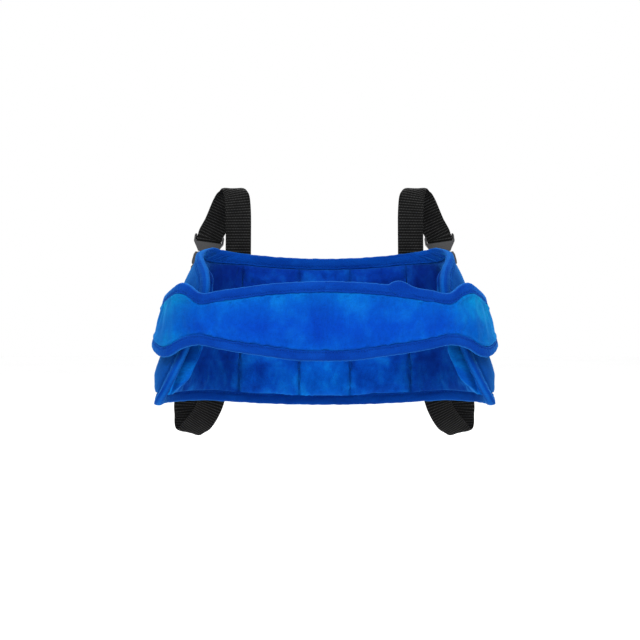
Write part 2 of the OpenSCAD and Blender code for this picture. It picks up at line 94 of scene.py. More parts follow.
def curve(knots, t):
    """Smooth curve through the knots, at knot numbers t."""
    ends, t = with_ends(knots), np.asarray(t, float)
    i = np.clip(np.floor(t).astype(int), 0, len(ends) - 4)
    f = (t - i).reshape(t.shape + (1,) * (ends.ndim - 1))
    return weigh(ends[i], ends[i + 1], ends[i + 2], ends[i + 3], f)


def finer(grid, times):
    """A grid of points with each cell cut into times x times, on smooth curves."""
    for axis in (0, 1):
        grid = np.moveaxis(grid, axis, 0)
        t = np.arange((len(grid) - 1) * times + 1) / times
        grid = np.moveaxis(curve(grid, t), 0, axis)
    return grid


def finer_values(grid, times):
    return finer(grid[..., None], times)[..., 0]


def distances(points):
    """How far along a line of points each of them is."""
    return np.concatenate([[0], np.cumsum(np.linalg.norm(np.diff(points, axis=0), axis=1))])


def at_distances(at, steps, values):
    """Rows of values that are known at the distances steps, at other distances."""
    return np.stack([np.interp(at, steps, column) for column in values.T], 1)


def spaced(length, step, ends):
    """Places from 0 to length: the given offsets at each end, about a step apart between."""
    middle = length - 2 * ends[-1]
    count = max(1, round(middle / step))
    inner = ends[-1] + middle * np.arange(1, count) / count
    return np.concatenate([ends, inner, length - np.array(ends[::-1])])


def normals(grid):
    """Unit normals of a grid of points: across x up."""
    return unit(np.cross(np.gradient(grid, axis=1), np.gradient(grid, axis=0)))


def waves(x, y, seed, count=9, scale=0.1):
    """Soft random undulation between about -1 and 1 over a sheet, in millimetres."""
    draw = np.random.default_rng(seed)
    total = 0
    for _ in range(count):
        angle, phase = draw.uniform(0, 2 * math.pi, 2)
        rate = scale * draw.uniform(0.5, 1.6)
        total = total + np.sin(rate * (x * math.cos(angle) + y * math.sin(angle)) + phase)
    return total / math.sqrt(count)


# ---- Materials ----


def linear(colour):
    """Linear colour from 0-255 display values."""
    c = np.array(colour, float) / 255
    return (*np.where(c <= 0.04045, c / 12.92, ((c + 0.055) / 1.055) ** 2.4), 1)


class Nodes:
    """A Principled material with short calls for its nodes."""

    def __init__(self, name, **sockets):
        self.material = bpy.data.materials.new(name)
        self.material.use_nodes = True
        self.tree = self.material.node_tree
        self.shader = self.tree.nodes["Principled BSDF"]
        for socket, value in sockets.items():
            self.shader.inputs[socket.replace("_", " ")].default_value = value

    def add(self, kind, links=(), **settings):
        node = self.tree.nodes.new("ShaderNode" + kind)
        for key, value in settings.items():
            if hasattr(node, key):
                setattr(node, key, value)
            else:
                node.inputs[key.replace("_", " ")].default_value = value
        for socket, source in links:
            self.tree.links.new(source, node.inputs[socket])
        return node

    def cloth_place(self, scale):
        """Cloth coordinates in metres, across and along the piece, stretched by scale."""
        place = self.add("UVMap", uv_map="cloth").outputs[0]
        return self.add("Mapping", [("Vector", place)], Scale=scale).outputs[0]

    def cloth_axes(self):
        """Cloth coordinates in metres, as one number across the piece and one along it."""
        place = self.cloth_place((1, 1, 1))
        split = self.add("SeparateXYZ", [("Vector", place)]).outputs
        return split["X"], split["Y"]

    def object_place(self, scale=(1, 1, 1)):
        place = self.add("TexCoord").outputs["Object"]
        return self.add("Mapping", [("Vector", place)], Scale=scale).outputs[0]

    def noise(self, place, scale, detail=3.0, rough=0.55, distort=0.0):
        return self.add("TexNoise", [("Vector", place)], Scale=scale, Detail=detail,
                        Roughness=rough, Distortion=distort).outputs["Fac"]

    def cloth_noise(self, across, along, detail=2.0, rough=0.5, distort=0.0):
        """Noise with so many cells a metre across and along the cloth."""
        return self.noise(self.cloth_place((across, along, 1)), 1.0, detail, rough, distort)

    def ramp(self, fac, stops):
        node = self.add("ValToRGB", [("Fac", fac)])
        ends = node.color_ramp.elements
        while len(ends) < len(stops):
            ends.new(0.5)
        for element, (place, colour) in zip(ends, stops):
            element.position, element.color = place, colour
        return node.outputs["Color"]

    def greys(self, fac, *stops):
        return self.ramp(fac, [(place, grey(value)) for place, value in stops])

    def times(self, colour, tint):
        """A colour multiplied by a tint."""
        node = self.add("Mix", data_type="RGBA", blend_type="MULTIPLY")
        node.inputs[0].default_value = 1.0
        self.tree.links.new(colour, node.inputs[6])
        self.tree.links.new(tint, node.inputs[7])
        return node.outputs[2]

    def maths(self, kind, *values):
        node = self.add("Math", operation=kind)
        for socket, value in enumerate(values):
            if isinstance(value, (int, float)):
                node.inputs[socket].default_value = value
            else:
                self.tree.links.new(value, node.inputs[socket])
        return node.outputs[0]

    def bump(self, height, distance, strength=1.0, after=None):
        links = [("Height", height)] + ([("Normal", after)] if after else [])
        return self.add("Bump", links, Strength=strength, Distance=distance).outputs[0]

    def use(self, **outputs):
        for socket, source in outputs.items():
            self.tree.links.new(source, self.shader.inputs[socket.replace("_", " ")])
        return self.material


def grey(value):
    return (value, value, value, 1)


SHEEN = (0.04, 0.42, 1.0, 1)
INNER_SEAM, OUTER_SEAM = 23.5, 80.0    # quilting seams, millimetres from the middle at the foot
SEAM_LEAN = 0.0377   # how much an outer seam nears the middle for each millimetre up
RIB, WEAVE = 2.7, 1.5    # spacing of the webbing's ribs and of the threads across it


def pile_material(name, dark, middle, light, patch=45, contrast=0.6, speckle=0.22, grain=1300,
                  depth=0.00022, light_and_shade_across=(), up=(), seams=False):
    """Brushed cloth: soft patches where the nap lies another way, and a fine tufted pile.
    The tint lists across and up are [cloth place in metres, red, green, blue] stops of painted
    light and shade over the piece, and seams paints shade along the quilting seams."""
    m = Nodes(name, Roughness=0.95, Sheen_Weight=0.35, Sheen_Roughness=0.4,
              Sheen_Tint=SHEEN, Specular_IOR_Level=0.03)
    patches = m.cloth_noise(patch, patch * 0.8, distort=0.35)
    small = m.cloth_noise(patch * 3.6, patch * 3.1, distort=0.3)
    blend = m.maths("ADD", m.maths("MULTIPLY", patches, 0.75), m.maths("MULTIPLY", small, 0.25))
    half = 0.12 / contrast
    colour = m.ramp(blend, [(0.5 - half, linear(dark)), (0.5, linear(middle)),
                            (0.5 + half, linear(light))])
    tufts = m.cloth_noise(grain, grain * 0.75, rough=0.7)
    clumps = m.cloth_noise(grain / 3.2, grain / 4.2, rough=0.6)
    for fac, least, most in ((tufts, 1 - speckle, 1 + speckle * 0.55), (clumps, 0.9, 1.08)):
        colour = m.times(colour, m.greys(fac, (0.3, least), (0.7, most)))
    across, along = m.cloth_axes()
    side = m.maths("ABSOLUTE", across)
    # Painted light and shade: tints across and up the cloth darken the parts that lie in shade and
    # lighten those that catch the light.
    for place, stops in ((side, light_and_shade_across), (along, up)):
        if stops:
            near, far = stops[0][0], stops[-1][0]
            share = m.maths("DIVIDE", m.maths("SUBTRACT", place, near), far - near)
            light_and_shade_tints = [((at - near) / (far - near), (*tint, 1)) for at, *tint in stops]
            colour = m.times(colour, m.ramp(share, light_and_shade_tints))
    # Painted shade: the pile is darker within about a millimetre of each quilting seam, where shade
    # falls in the crease.
    if seams:
        outer = m.maths("SUBTRACT", OUTER_SEAM * MM, m.maths("MULTIPLY", along, SEAM_LEAN))
        for place in (INNER_SEAM * MM, outer):
            gap = m.maths("ABSOLUTE", m.maths("SUBTRACT", side, place))
            colour = m.times(colour, m.greys(m.maths("MULTIPLY", gap, 260.0), (0.0, 0.62),
                                             (0.2, 0.82), (0.45, 0.97), (1.0, 1.0)))
    low = m.bump(clumps, depth * 2.2, 0.55)
    return m.use(Base_Color=colour, Normal=m.bump(tufts, depth, 0.75, low))


def tape_material(name, dark, light):
    """Folded knit tape: short pile, a painted highlight along the fold where its fuzz catches the
    light, and faint ribs across.
    """
    m = Nodes(name, Roughness=0.92, Sheen_Weight=0.42, Sheen_Roughness=0.38,
              Sheen_Tint=SHEEN, Specular_IOR_Level=0.03)
    patches = m.cloth_noise(60, 25, 3.0, 0.6, 0.5)
    colour = m.ramp(patches, [(0.35, linear(dark)), (0.65, linear(light))])
    loops = m.cloth_noise(1300, 1300, rough=0.7)
    colour = m.times(colour, m.greys(loops, (0.3, 0.68), (0.7, 1.2)))
    fold = m.maths("MULTIPLY", m.maths("ABSOLUTE", m.cloth_axes()[0]), 400.0)
    # Painted highlight: the tape is lighter along its fold, where the fuzz catches the light.
    fold_highlight = [(0.0, (3.5, 2.0, 1.4, 1)), (0.6, (2.6, 1.7, 1.25, 1)), (1.0, grey(1.0))]
    colour = m.times(colour, m.ramp(fold, fold_highlight))
    ribs = m.add("TexWave", [("Vector", m.cloth_place((0, 95, 1)))], bands_direction="Y",
                 Scale=1.0, Distortion=3.0, Detail=1.0).outputs["Fac"]
    low = m.bump(ribs, 0.00012, 0.5)
    return m.use(Base_Color=colour, Normal=m.bump(loops, 0.00022, 0.8, low))


def webbing_material():
    """Black polypropylene webbing, its ribs painted with highlights on their threads and painted
    shade in the grooves between.
    """
    m = Nodes("webbing_black", Specular_IOR_Level=0.05)
    across, along = m.cloth_axes()
    turn = m.maths("MULTIPLY", along, 2 * math.pi / (RIB * MM))
    ridge = m.maths("MULTIPLY_ADD", m.maths("COSINE", turn), 0.5, 0.5)
    weave = m.maths("ADD", m.maths("MULTIPLY", across, 2 * math.pi / (WEAVE * MM)),
                    m.maths("MULTIPLY", turn, 0.5))
    dots = m.maths("MULTIPLY_ADD", m.maths("COSINE", weave), 0.5, 0.5)
    fuzz = m.cloth_noise(1100, 800, 3.0, 0.7)
    patches = m.cloth_noise(110, 60)
    lit = m.maths("MULTIPLY_ADD", dots, 0.75, 0.25)
    thread = m.maths("MULTIPLY", m.maths("POWER", ridge, 1.6), lit)
    rib_height_and_shine = m.maths("MULTIPLY", thread, m.maths("MULTIPLY_ADD", fuzz, 1.3, 0.3))
    # Painted highlights on the rib threads and painted shade in the grooves between them.
    colour = m.ramp(rib_height_and_shine, [(0.04, linear((3, 3, 3))), (0.4, linear((10, 10, 10))),
                           (0.8, linear((50, 50, 50)))])
    colour = m.times(colour, m.greys(patches, (0.3, 0.7), (0.7, 1.15)))
    rough = m.greys(fuzz, (0.3, 0.5), (0.7, 0.8))
    return m.use(Base_Color=colour, Roughness=rough, Normal=m.bump(rib_height_and_shine, 0.0003, 0.9))


def plastic_material(name, colour, rough=0.46):
    """Moulded plastic with a fine spark-eroded grain and faint flow marks."""
    m = Nodes(name, Specular_IOR_Level=0.45)
    grain = m.noise(m.object_place(), 3200, 2.0, 0.6)
    flow = m.noise(m.object_place((1, 1, 0.35)), 90, 3.0, 0.6, 0.8)
    c = np.array(colour, float)
    shade = m.ramp(flow, [(0.35, linear(c * 0.9)), (0.65, linear(c * 1.12))])
    roughness = m.greys(flow, (0.3, rough - 0.06), (0.7, rough + 0.1))
    return m.use(Base_Color=shade, Roughness=roughness, Normal=m.bump(grain, 0.00006, 0.6))


def thread_material(name, colour):
    """Sewing thread with a twist running round it."""
    m = Nodes(name, Roughness=0.8, Specular_IOR_Level=0.05)
    twist = m.add("TexWave", [("Vector", m.object_place())], bands_direction="DIAGONAL",
                  Scale=420.0, Distortion=1.0, Detail=1.0).outputs["Fac"]
    c = np.array(colour, float)
    shade = m.ramp(twist, [(0.2, linear(c * 0.8)), (0.8, linear(np.minimum(c * 1.15, 255)))])
    return m.use(Base_Color=shade, Normal=m.bump(twist, 0.00008, 0.6))


# Painted light and shade on the pad's plush: lighter in the middle, on each wing's rolled strip and
# at the foot; darker on the wings' inner walls, towards the top under the band, and along the
# seams.
PLUSH_PAD = pile_material(
    "plush_pad", (0, 26, 104), (1, 50, 138), (5, 78, 162), contrast=0.55, seams=True,
    light_and_shade_across=[(0, 1, 1.35, 1.12), (0.02, 1, 1.25, 1.05), (0.03, 1, 0.95, 0.95), (0.07, 1, 0.84, 0.86),
           (0.09, 0.5, 0.42, 0.52), (0.14, 0.5, 0.46, 0.56), (0.165, 0.8, 0.95, 0.86),
           (0.2, 0.9, 1.25, 1)],
    up=[(0, 1, 1.65, 1.35), (0.05, 1, 1.25, 1.15), (0.1, 1, 0.72, 0.84), (0.133, 1, 0.6, 0.78)])
# Painted highlight on the band's plush: lighter and greener on the end lobes and towards its edges,
# most at the top.
PLUSH_BAND = pile_material(
    "plush_band", (1, 44, 136), (1, 54, 146), (4, 72, 158), patch=34, contrast=0.62,
    light_and_shade_across=[(0, 0.95, 0.95, 0.95), (0.06, 0.97, 0.97, 0.97), (0.1, 0.9, 1.15, 1.02),
           (0.14, 0.7, 1.8, 0.96), (0.2, 0.7, 2, 0.96)],
    up=[(0.17, 0.8, 1.2, 1), (0.195, 1, 0.92, 0.97), (0.21, 1, 1.25, 1), (0.222, 1, 1.8, 1.06)])
VELOUR = pile_material("velour_blue", (2, 42, 105), (4, 50, 116), (7, 60, 127), patch=24,
                       speckle=0.16, grain=1800, depth=0.00012)
TAPE = tape_material("binding_blue", (1, 38, 114), (3, 51, 131))
TAPE_PAD = tape_material("binding_pad", (0, 38, 112), (2, 52, 130))
WEBBING = webbing_material()
THREAD = thread_material("thread_blue", (3, 46, 128))
THREAD_BLACK = thread_material("thread_black", (12, 12, 12))
HOOK = plastic_material("hook_black", (18, 18, 19), 0.6)
BUCKLE = plastic_material("buckle_grey", (22, 22, 24))

# ---- Meshes made from grids and rings ----


def grid_faces(rows, cols, start=0, flip=False):
    """Quads of a grid of rows x cols points, facing across x up."""
    i, j = np.meshgrid(np.arange(rows - 1), np.arange(cols - 1), indexing="ij")
    a = (start + i * cols + j).ravel()
    quads = np.stack([a, a + 1, a + cols + 1, a + cols], 1)
    return quads[:, ::-1] if flip else quads


def rim_loop(rows, cols):
    """Point numbers round a grid's edge: right along the first row, up, left and down."""
    last = (rows - 1) * cols
    return np.concatenate([np.arange(cols - 1), np.arange(1, rows) * cols - 1,
                           last + np.arange(cols - 1, 0, -1), np.arange(rows - 1, 0, -1) * cols])


def closed_faces(rows, cols, flip=False):
    """Two grids of points one behind the other, the first in front, joined round the edge."""
    near, count = rim_loop(rows, cols), rows * cols
    far = near + count
    rims = np.stack([np.roll(near, -1), near, far, np.roll(far, -1)], 1)
    faces = np.concatenate([grid_faces(rows, cols), grid_faces(rows, cols, count, True), rims])
    return faces[:, ::-1] if flip else faces


def add_object(name, data):
    obj = bpy.data.objects.new(name, data)
    scene.collection.objects.link(obj)
    return obj


def make(name, points, faces, material, places=None, sharp=None):
    """A mesh piece from points in millimetres. places are cloth coordinates in millimetres."""
    mesh = bpy.data.meshes.new(name)
    faces = faces if isinstance(faces, list) else faces.tolist()
    mesh.from_pydata((np.asarray(points).reshape(-1, 3) * MM).tolist(), [], faces)
    mesh.materials.append(material)
    layer = mesh.uv_layers.new(name="cloth")
    if places is not None:
        corner = np.empty(len(mesh.loops), np.int32)
        mesh.loops.foreach_get("vertex_index", corner)
        layer.data.foreach_set("uv", (np.asarray(places).reshape(-1, 2)[corner] * MM).ravel())
    mesh.shade_smooth()
    if sharp:
        mesh.set_sharp_from_angle(angle=math.radians(sharp))
    return add_object(name, mesh)


def place_on(obj, bodies, replaced=()):
    """Rides a piece on one body, or bakes its transform where it spans two, and hides the CAD nodes
    that it stands for.
    """
    if isinstance(bodies, str):
        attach(obj, bodies)
    else:
        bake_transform(obj)
    if replaced:
        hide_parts(*replaced)
    return obj


def cloth_sheet(name, outer, thickness, material, places, flip=False):
    """A closed thin sheet under a grid of points that faces across x up, or back if flipped."""
    away = normals(outer) * (-1 if flip else 1)
    points = np.concatenate([outer, outer - away * thickness])
    faces = closed_faces(*outer.shape[:2], flip=flip)
    return make(name, points, faces, material, np.concatenate([places, places]), sharp=60)


def swept(rings, closed):
    """Faces of a skin through rings of points, with flat ends if it isn't closed on itself."""
    count, width = rings.shape[:2]
    i, j = np.meshgrid(np.arange(count if closed else count - 1), np.arange(width), indexing="ij")
    a, b, k = i * width, (i + 1) % count * width, (j + 1) % width
    faces = np.stack([a + j, a + k, b + k, b + j], -1).reshape(-1, 4).tolist()
    if not closed:
        faces += [list(range(width - 1, -1, -1)), list(range((count - 1) * width, count * width))]
    return faces


def thread_run(line, up, pitch=3.1, length=2.3, radius=0.26, sink=0.1):
    """Points and faces of a row of stitches along a line, each a small arch of thread."""
    steps = distances(line)
    points, faces = [], []
    bow = np.linspace(-1, 1, 5)
    turn = np.linspace(0, 2 * math.pi, 6, endpoint=False)
    r = radius * np.array([0.45, 0.9, 1, 0.9, 0.45])[:, None, None]
    for k in range(int((steps[-1] - length) / pitch)):
        at = (k + 0.5) * pitch + bow * length / 2
        spine = at_distances(at, steps, line)
        lift = unit(at_distances(at, steps, up))
        side = unit(np.cross(unit(np.gradient(spine, axis=0)), lift))
        spine = spine + lift * (radius * 0.55 - (radius + sink) * bow[:, None] ** 4)
        ring = spine[:, None] + r * (side[:, None] * np.cos(turn)[None, :, None]
                                     + lift[:, None] * np.sin(turn)[None, :, None])
        start = k * bow.size * turn.size
        points.append(ring.reshape(-1, 3))
        faces += [[p + start for p in face] for face in swept(ring, False)]
    return np.concatenate(points), faces


def stitching(name, runs, material):
    """One piece made of several rows of stitches. A run is (line, up)."""
    points, faces, start = [], [], 0
    for line, up in runs:
        p, f = thread_run(line, up)
        points.append(p)
        faces += [[i + start for i in face] for face in f]
        start += len(p)
    return make(name, np.concatenate(points), faces, material)


# ---- Cloth simulation ----


SIM_FRAMES, PRESSURE = 20, 4.0


def inflate(front, back, pinned, most, spare):
    """Swells a closed shell of two grids with Cloth pressure and gives back the two grids.
    pinned says which points are sewn down, most caps a point's move in millimetres, and
    spare is the share of extra cloth that gathers into folds."""
    rows, cols = front.shape[:2]
    start = np.concatenate([front, back]).reshape(-1, 3)
    shell = make("shell", start, closed_faces(rows, cols), VELOUR)
    group = shell.vertex_groups.new(name="sewn")
    group.add(np.nonzero(np.tile(pinned.ravel(), 2))[0].tolist(), 1.0, "REPLACE")
    cloth = shell.modifiers.new("Cloth", "CLOTH")
    s = cloth.settings
    s.quality, s.mass, s.air_damping = 5, 0.3, 3.0
    s.tension_stiffness = s.compression_stiffness = 15
    s.shear_stiffness, s.bending_stiffness = 8, 0.6
    s.tension_damping = s.compression_damping = 12
    s.use_pressure, s.uniform_pressure_force = True, PRESSURE
    s.shrink_min = -spare
    s.vertex_group_mass = "sewn"
    s.effector_weights.gravity = 0
    cloth.point_cache.frame_start, cloth.point_cache.frame_end = 1, SIM_FRAMES
    for number in range(1, SIM_FRAMES + 1):
        scene.frame_set(number)
    mesh = shell.evaluated_get(bpy.context.evaluated_depsgraph_get()).data
    moved = np.empty(len(mesh.vertices) * 3)
    mesh.vertices.foreach_get("co", moved)
    step = moved.reshape(-1, 3) / MM - start
    bpy.data.objects.remove(shell)
    scene.frame_set(1)
    size = np.linalg.norm(step, axis=1, keepdims=True)
    step *= most * np.tanh(size / most) / np.maximum(size, 1e-6)
    result = (start + step).reshape(2, rows, cols, 3)
    return result[0], result[1]


# ---- Shape of the pad ----
# u runs across from -1 to 1 at the wing edges, v up from 0 to 1, n out of the back.

# Half thicknesses of the pad and of its taped edge, and the widths of that edge and of the
# shoulder beside it
PAD_HALF, EDGE_HALF, EDGE_W, SHOULDER_W = 11.0, 2.0, 9.0, 22.0
RIM_W, RIM_U = EDGE_W + SHOULDER_W, 0.8
PAD_LOW, PAD_TOP, LOW_RISE, TOP_RISE = -77.5, 55.2, 5.0, 10.5
PAD_H = PAD_TOP - PAD_LOW
INNER_U, OUTER_U = 0.15, 0.5
CORNER_R = 10.5
TAPE_W, TAPE_T, TAPE_GAP = EDGE_W - 0.4, 1.1, 0.3


def reach(v):
    """x of the pad's outermost line."""
    return 140.5 - 31.5 * np.maximum(v, 0) ** 1.5


def full_run(v):
    """Length of cloth from the middle to a wing's edge."""
    high = 115 + 93 * (1 - clamp((v - 0.35) / 0.65) ** 3.4)
    return np.where(v > 0.35, high, 208 - 15 * ((0.35 - v) / 0.35) ** 2)


def outer_run(v):
    """Length of cloth from the middle to an outer quilting seam."""
    return OUTER_SEAM - 5 * v


def cut(v, s, n):
    """x and y in a level cut of the pad, s along the cloth and n outside it."""
    r = 54 - 20 * v * v
    flat, q = reach(v) - r, np.abs(s)
    turn = np.radians(126 - 30 * (np.maximum(0, 0.4 - v) / 0.4) ** 2)
    t = clamp((q - flat) / r, 0, turn)
    past, level = np.maximum(0, q - flat - r * turn), np.minimum(q, flat)
    x = np.sign(s) * (level + (r + n) * np.sin(t) + past * np.cos(t))
    return x, (r + n) * np.cos(t) - r - past * np.sin(t) - PAD_HALF


def fullness(edge, shoulder, *gaps):
    """How full padding is at these distances from its edges: 0 in the tape, 1 past the
    shoulder beside it."""
    share = 1
    for gap in gaps:
        share = share * dome((gap - edge) / shoulder)
    return share


def round_corner(side, near, radius):
    """Distances in from a piece's side and end, moved so that its square corners come out
    round, and which of them that moves."""
    x, y = clamp(1 - side / radius), clamp(1 - near / radius)
    inside = (x > 0) & (y > 0)
    side = np.where(inside, radius * (1 - x * np.sqrt(1 - y * y / 2)), side)
    return side, radius * (1 - y * np.sqrt(1 - x * x / 2)), inside


def side_gap(u, v):
    """Distance along the cloth to the wing's edge."""
    q = np.abs(u)
    wide = RIM_W + (full_run(v) - outer_run(v) - RIM_W) * (RIM_U - q) / (RIM_U - OUTER_U)
    return np.where(q > RIM_U, RIM_W * (1 - q) / (1 - RIM_U), wide)


def run(u, v):
    q = np.abs(u)
    quilted = INNER_SEAM + (outer_run(v) - INNER_SEAM) * (q - INNER_U) / (OUTER_U - INNER_U)
    wing = np.where(q < OUTER_U, quilted, full_run(v) - side_gap(u, v))
    return np.sign(u) * np.where(q < INNER_U, INNER_SEAM * q / INNER_U, wing)


def half_at(gap, v):
    """Half the pad's thickness at a distance from the wing's edge."""
    return EDGE_HALF + (PAD_HALF - EDGE_HALF) * fullness(
        EDGE_W, SHOULDER_W, gap, v * PAD_H, (1 - v) * PAD_H)


def shift(half, v):
    return (4 * (np.maximum(0, 0.45 - v) / 0.45) ** 2
            * (PAD_HALF - half) / (PAD_HALF - EDGE_HALF))


def dent(s, half, v):
    """Dents that a band tab's edges leave in the outside of a wing."""
    share = smooth((s - outer_run(v)) / 15) * (half - EDGE_HALF) / (PAD_HALF - EDGE_HALF)
    return share * (4.5 * smooth((v - 0.6) / 0.13) * smooth((1.0 - v) / 0.1)
                    + 2.5 * bell(v - 0.95, 0.09) + 1.8 * bell(v - 0.32, 0.07))


def pad_point(u, v, n):
    def rise(s):
        return np.minimum(1, np.abs(s) / 112) ** 2
    x, y = cut(v, run(u, v), n + shift(half_at(side_gap(u, v), v), v))
    low = PAD_LOW + LOW_RISE * rise(run(u, 0 * v))
    high = PAD_TOP + TOP_RISE * rise(run(u, 0 * v + 1))
    return np.stack([x, y, low + (high - low) * v], -1)


def rounded(u, v):
    """Pulls the corners of the pad's grid in to round ones."""
    side = RIM_W * (1 - np.abs(u)) / (1 - RIM_U)
    side, near, inside = round_corner(side, np.minimum(v, 1 - v) * PAD_H, CORNER_R)
    new_u, near = np.sign(u) * (1 - side / RIM_W * (1 - RIM_U)), near / PAD_H
    return np.where(inside, new_u, u), np.where(inside, np.where(v < 0.5, near, 1 - near), v)


# Columns are close together at the seams and the edges, where the cloth turns sharply
SEAM_STEPS, RIM_STEPS = [0, 1.2, 3.2, 6], [0, 4.5, 8.4, 10.2, 13]
centre_us = INNER_U * (2 * spaced(2 * INNER_SEAM, 4.2, SEAM_STEPS) / (2 * INNER_SEAM) - 1)
quilt_us = INNER_U + (OUTER_U - INNER_U) * spaced(54, 4.2, SEAM_STEPS) / 54
wing_us = OUTER_U + (RIM_U - OUTER_U) * np.array([0, 1.2, 3.2, 6, *np.arange(10, 97, 4.0)]) / 99
rim_us = 1 - (1 - RIM_U) * np.array([31, 27.5, 24, 20.5, 17.5, *RIM_STEPS[::-1]]) / RIM_W
side_us = np.concatenate([quilt_us[1:], wing_us[1:], rim_us])
pad_us = np.concatenate([-side_us[::-1], centre_us, side_us])
pad_vs = spaced(PAD_H, 4.0, RIM_STEPS) / PAD_H
GRID_U, GRID_V = rounded(*np.meshgrid(pad_us, pad_vs))
GRID_HALF = half_at(side_gap(GRID_U, GRID_V), GRID_V)
GRID_S = run(GRID_U, GRID_V)


def edge_gap(u, v):
    """Distance in millimetres along the cloth to the nearest edge."""
    return np.minimum(np.minimum(v, 1 - v) * PAD_H, side_gap(u, v))


def seam_gaps(u, v):
    """Distance in millimetres along the cloth to each of the four quilting seams."""
    s = run(u, v)
    return [s - side * at for side in (-1, 1) for at in (INNER_SEAM, outer_run(v))]


def quilting(u, v, depth, width):
    return depth * sum(bell(gap, width) for gap in seam_gaps(u, v))


# Sewn lines are pinned: the taped edge, and each seam between the edges
edge_room = edge_gap(GRID_U, GRID_V)
on_seam = np.minimum.reduce([np.abs(g) for g in seam_gaps(GRID_U, GRID_V)]) < 0.3
sewn = (edge_room < EDGE_W) | on_seam
off_tape = clamp((edge_room - EDGE_W) / 8)
# Overstuffed plush rolls out past the tape of each wing, most on the lower part, and a
# little over the bottom and top tapes
ROLL, SAG, PUFF = 19, 5, 2.8
side_room, low_room, top_room = side_gap(GRID_U, GRID_V), GRID_V * PAD_H, (1 - GRID_V) * PAD_H
roll = (smooth((side_room - 9) / 6) * smooth((50 - side_room) / 32)
        * smooth((0.92 - GRID_V) / 0.14) * smooth((GRID_V - 0.06) / 0.14)
        * (1 - 0.45 * smooth((GRID_V - 0.42) / 0.2)) * (1 + 0.2 * bell(GRID_V - 0.27, 0.14)))
roll_u = GRID_U + np.sign(GRID_U) * ROLL * roll / RIM_W * (1 - RIM_U)
sag = smooth((low_room - 9) / 4) * smooth((34 - low_room) / 20)
puff = smooth((top_room - 9) / 7) * smooth((34 - top_room) / 20)
front = pad_point(roll_u, GRID_V + (PUFF * puff - SAG * sag) / PAD_H,
                  1.3 * off_tape - 4 * roll - 3 * sag - 1.5 * puff - GRID_HALF
                  + quilting(GRID_U, GRID_V, 3.2, 4.5) * off_tape)
low_belly = (1.3 * bell(low_room - 10.5, 4.5) * smooth((np.abs(GRID_S) - 110) / 40)
             * clamp((edge_room - EDGE_W) / 1.2))
back = pad_point(GRID_U, GRID_V, GRID_HALF + low_belly - dent(np.abs(GRID_S), GRID_HALF, GRID_V)
                 - quilting(GRID_U, GRID_V, 1.6, 3.5) * off_tape)
swollen_front, swollen_back = inflate(front, back, sewn, 3.2, 0.035)
# The back keeps flat where it rests on the seat, and by the tabs, and the lips beside the
# tape stay even
swollen_back = back + 0.3 * (swollen_back - back)
loose = 1 - 0.8 * smooth((19 - edge_room) / 6)
swollen_front = front + loose[..., None] * (swollen_front - front)

FINE = 3
fine_roll = clamp(1.6 * finer_values(roll + sag + puff, FINE))
fine_u, fine_v = finer_values(GRID_U, FINE), finer_values(GRID_V, FINE)
fine_v = clamp(fine_v)
pad_places = np.stack([run(fine_u, fine_v), fine_v * PAD_H], -1)
fine_room = edge_gap(fine_u, fine_v)
inward = clamp((fine_room - EDGE_W) / 5)
beside_tape = bell(fine_room - EDGE_W - 1.4, 1.5)


def dressed(grid, towards, seed, lip):
    """A finer sheet with sharp seams, tension folds by the seam ends and a soft ripple."""
    sheet = finer(grid, FINE)
    away = normals(sheet) * towards
    x, z = pad_places[..., 0], pad_places[..., 1]
    ends = np.minimum(z, PAD_H - z)
    folds = 0
    for k, gap in enumerate(seam_gaps(fine_u, fine_v)):
        lean = np.abs(gap) - 0.55 * (ends - EDGE_W) + 3 * math.sin(2.3 * k + seed)
        folds = folds + (np.sin(lean * 1.15 + k) * bell(lean - 4, 5.5)
                         * bell(ends - 17, 13) * clamp((np.abs(gap) - 0.8) / 4))
    deep = quilting(fine_u, fine_v, 0.8, 1.1)
    ripple = 0.22 * waves(x, z, seed, scale=0.16) + 0.45 * waves(x, z, seed + 1, scale=0.055)
    lift = (0.42 * folds + ripple) * inward - deep * inward + lip * beside_tape * (1 - fine_roll)
    return sheet + away * lift[..., None]


PLUSH_T, COVER_T, BAND_PLUSH_T, LINING_T = 1.2, 0.9, 1.1, 0.8
plush_face, cover_face = dressed(swollen_front, 1, 5, 1.0), dressed(swollen_back, -1, 8, 0.5)
plush = cloth_sheet("pad_plush", plush_face, PLUSH_T, PLUSH_PAD, pad_places)
cover = cloth_sheet("pad_cover", cover_face, COVER_T, VELOUR, pad_places, True)
place_on(plush, "pad", ["plush_face", "foam_centre", "foam_inner_left",
         "foam_inner_right", "foam_wing_left", "foam_wing_right"])
place_on(cover, "pad", ["back_cover"])

# ---- Folded tape ----

# Numbers of a tape ring's points: on the outside by the fold, and the middle of the fold
RUN_POINT, FOLD_POINT = 7, 11
# Stitches lie in the groove near the tape's inner edge, raised from the middle of the cloth
STITCH_IN, PAD_STITCH_N, BAND_STITCH_N = 2.1, EDGE_HALF + TAPE_GAP + TAPE_T * 0.7, 3.1


def tape_profile(width, thick=TAPE_T):
    """Cross section of a folded tape: [distance in from the edge, n], the outside first."""
    h = EDGE_HALF + TAPE_GAP
    lift = [0.35, 0.95, 1.05, 0.5, 1.0, 1.1, 1.08, 1.0]
    into = [*(width - k for k in (0, 0.5, 1.3, STITCH_IN, 2.9)), width * 0.45, width * 0.22, 0.3]
    side = [[d, h + thick * k] for d, k in zip(into, lift)]
    r = h + thick
    fold = [[0.3 - r * math.sin(a) * 0.62, r * math.cos(a)]
            for a in np.radians([25, 50, 75, 90, 105, 130, 155])]
    other = [[d, -n] for d, n in side[::-1]]
    inner = [[width - 0.1, -h], [0.2, -h], [-0.6, 0], [0.2, h], [width - 0.1, h]]
    return np.array(side + fold + other + inner)


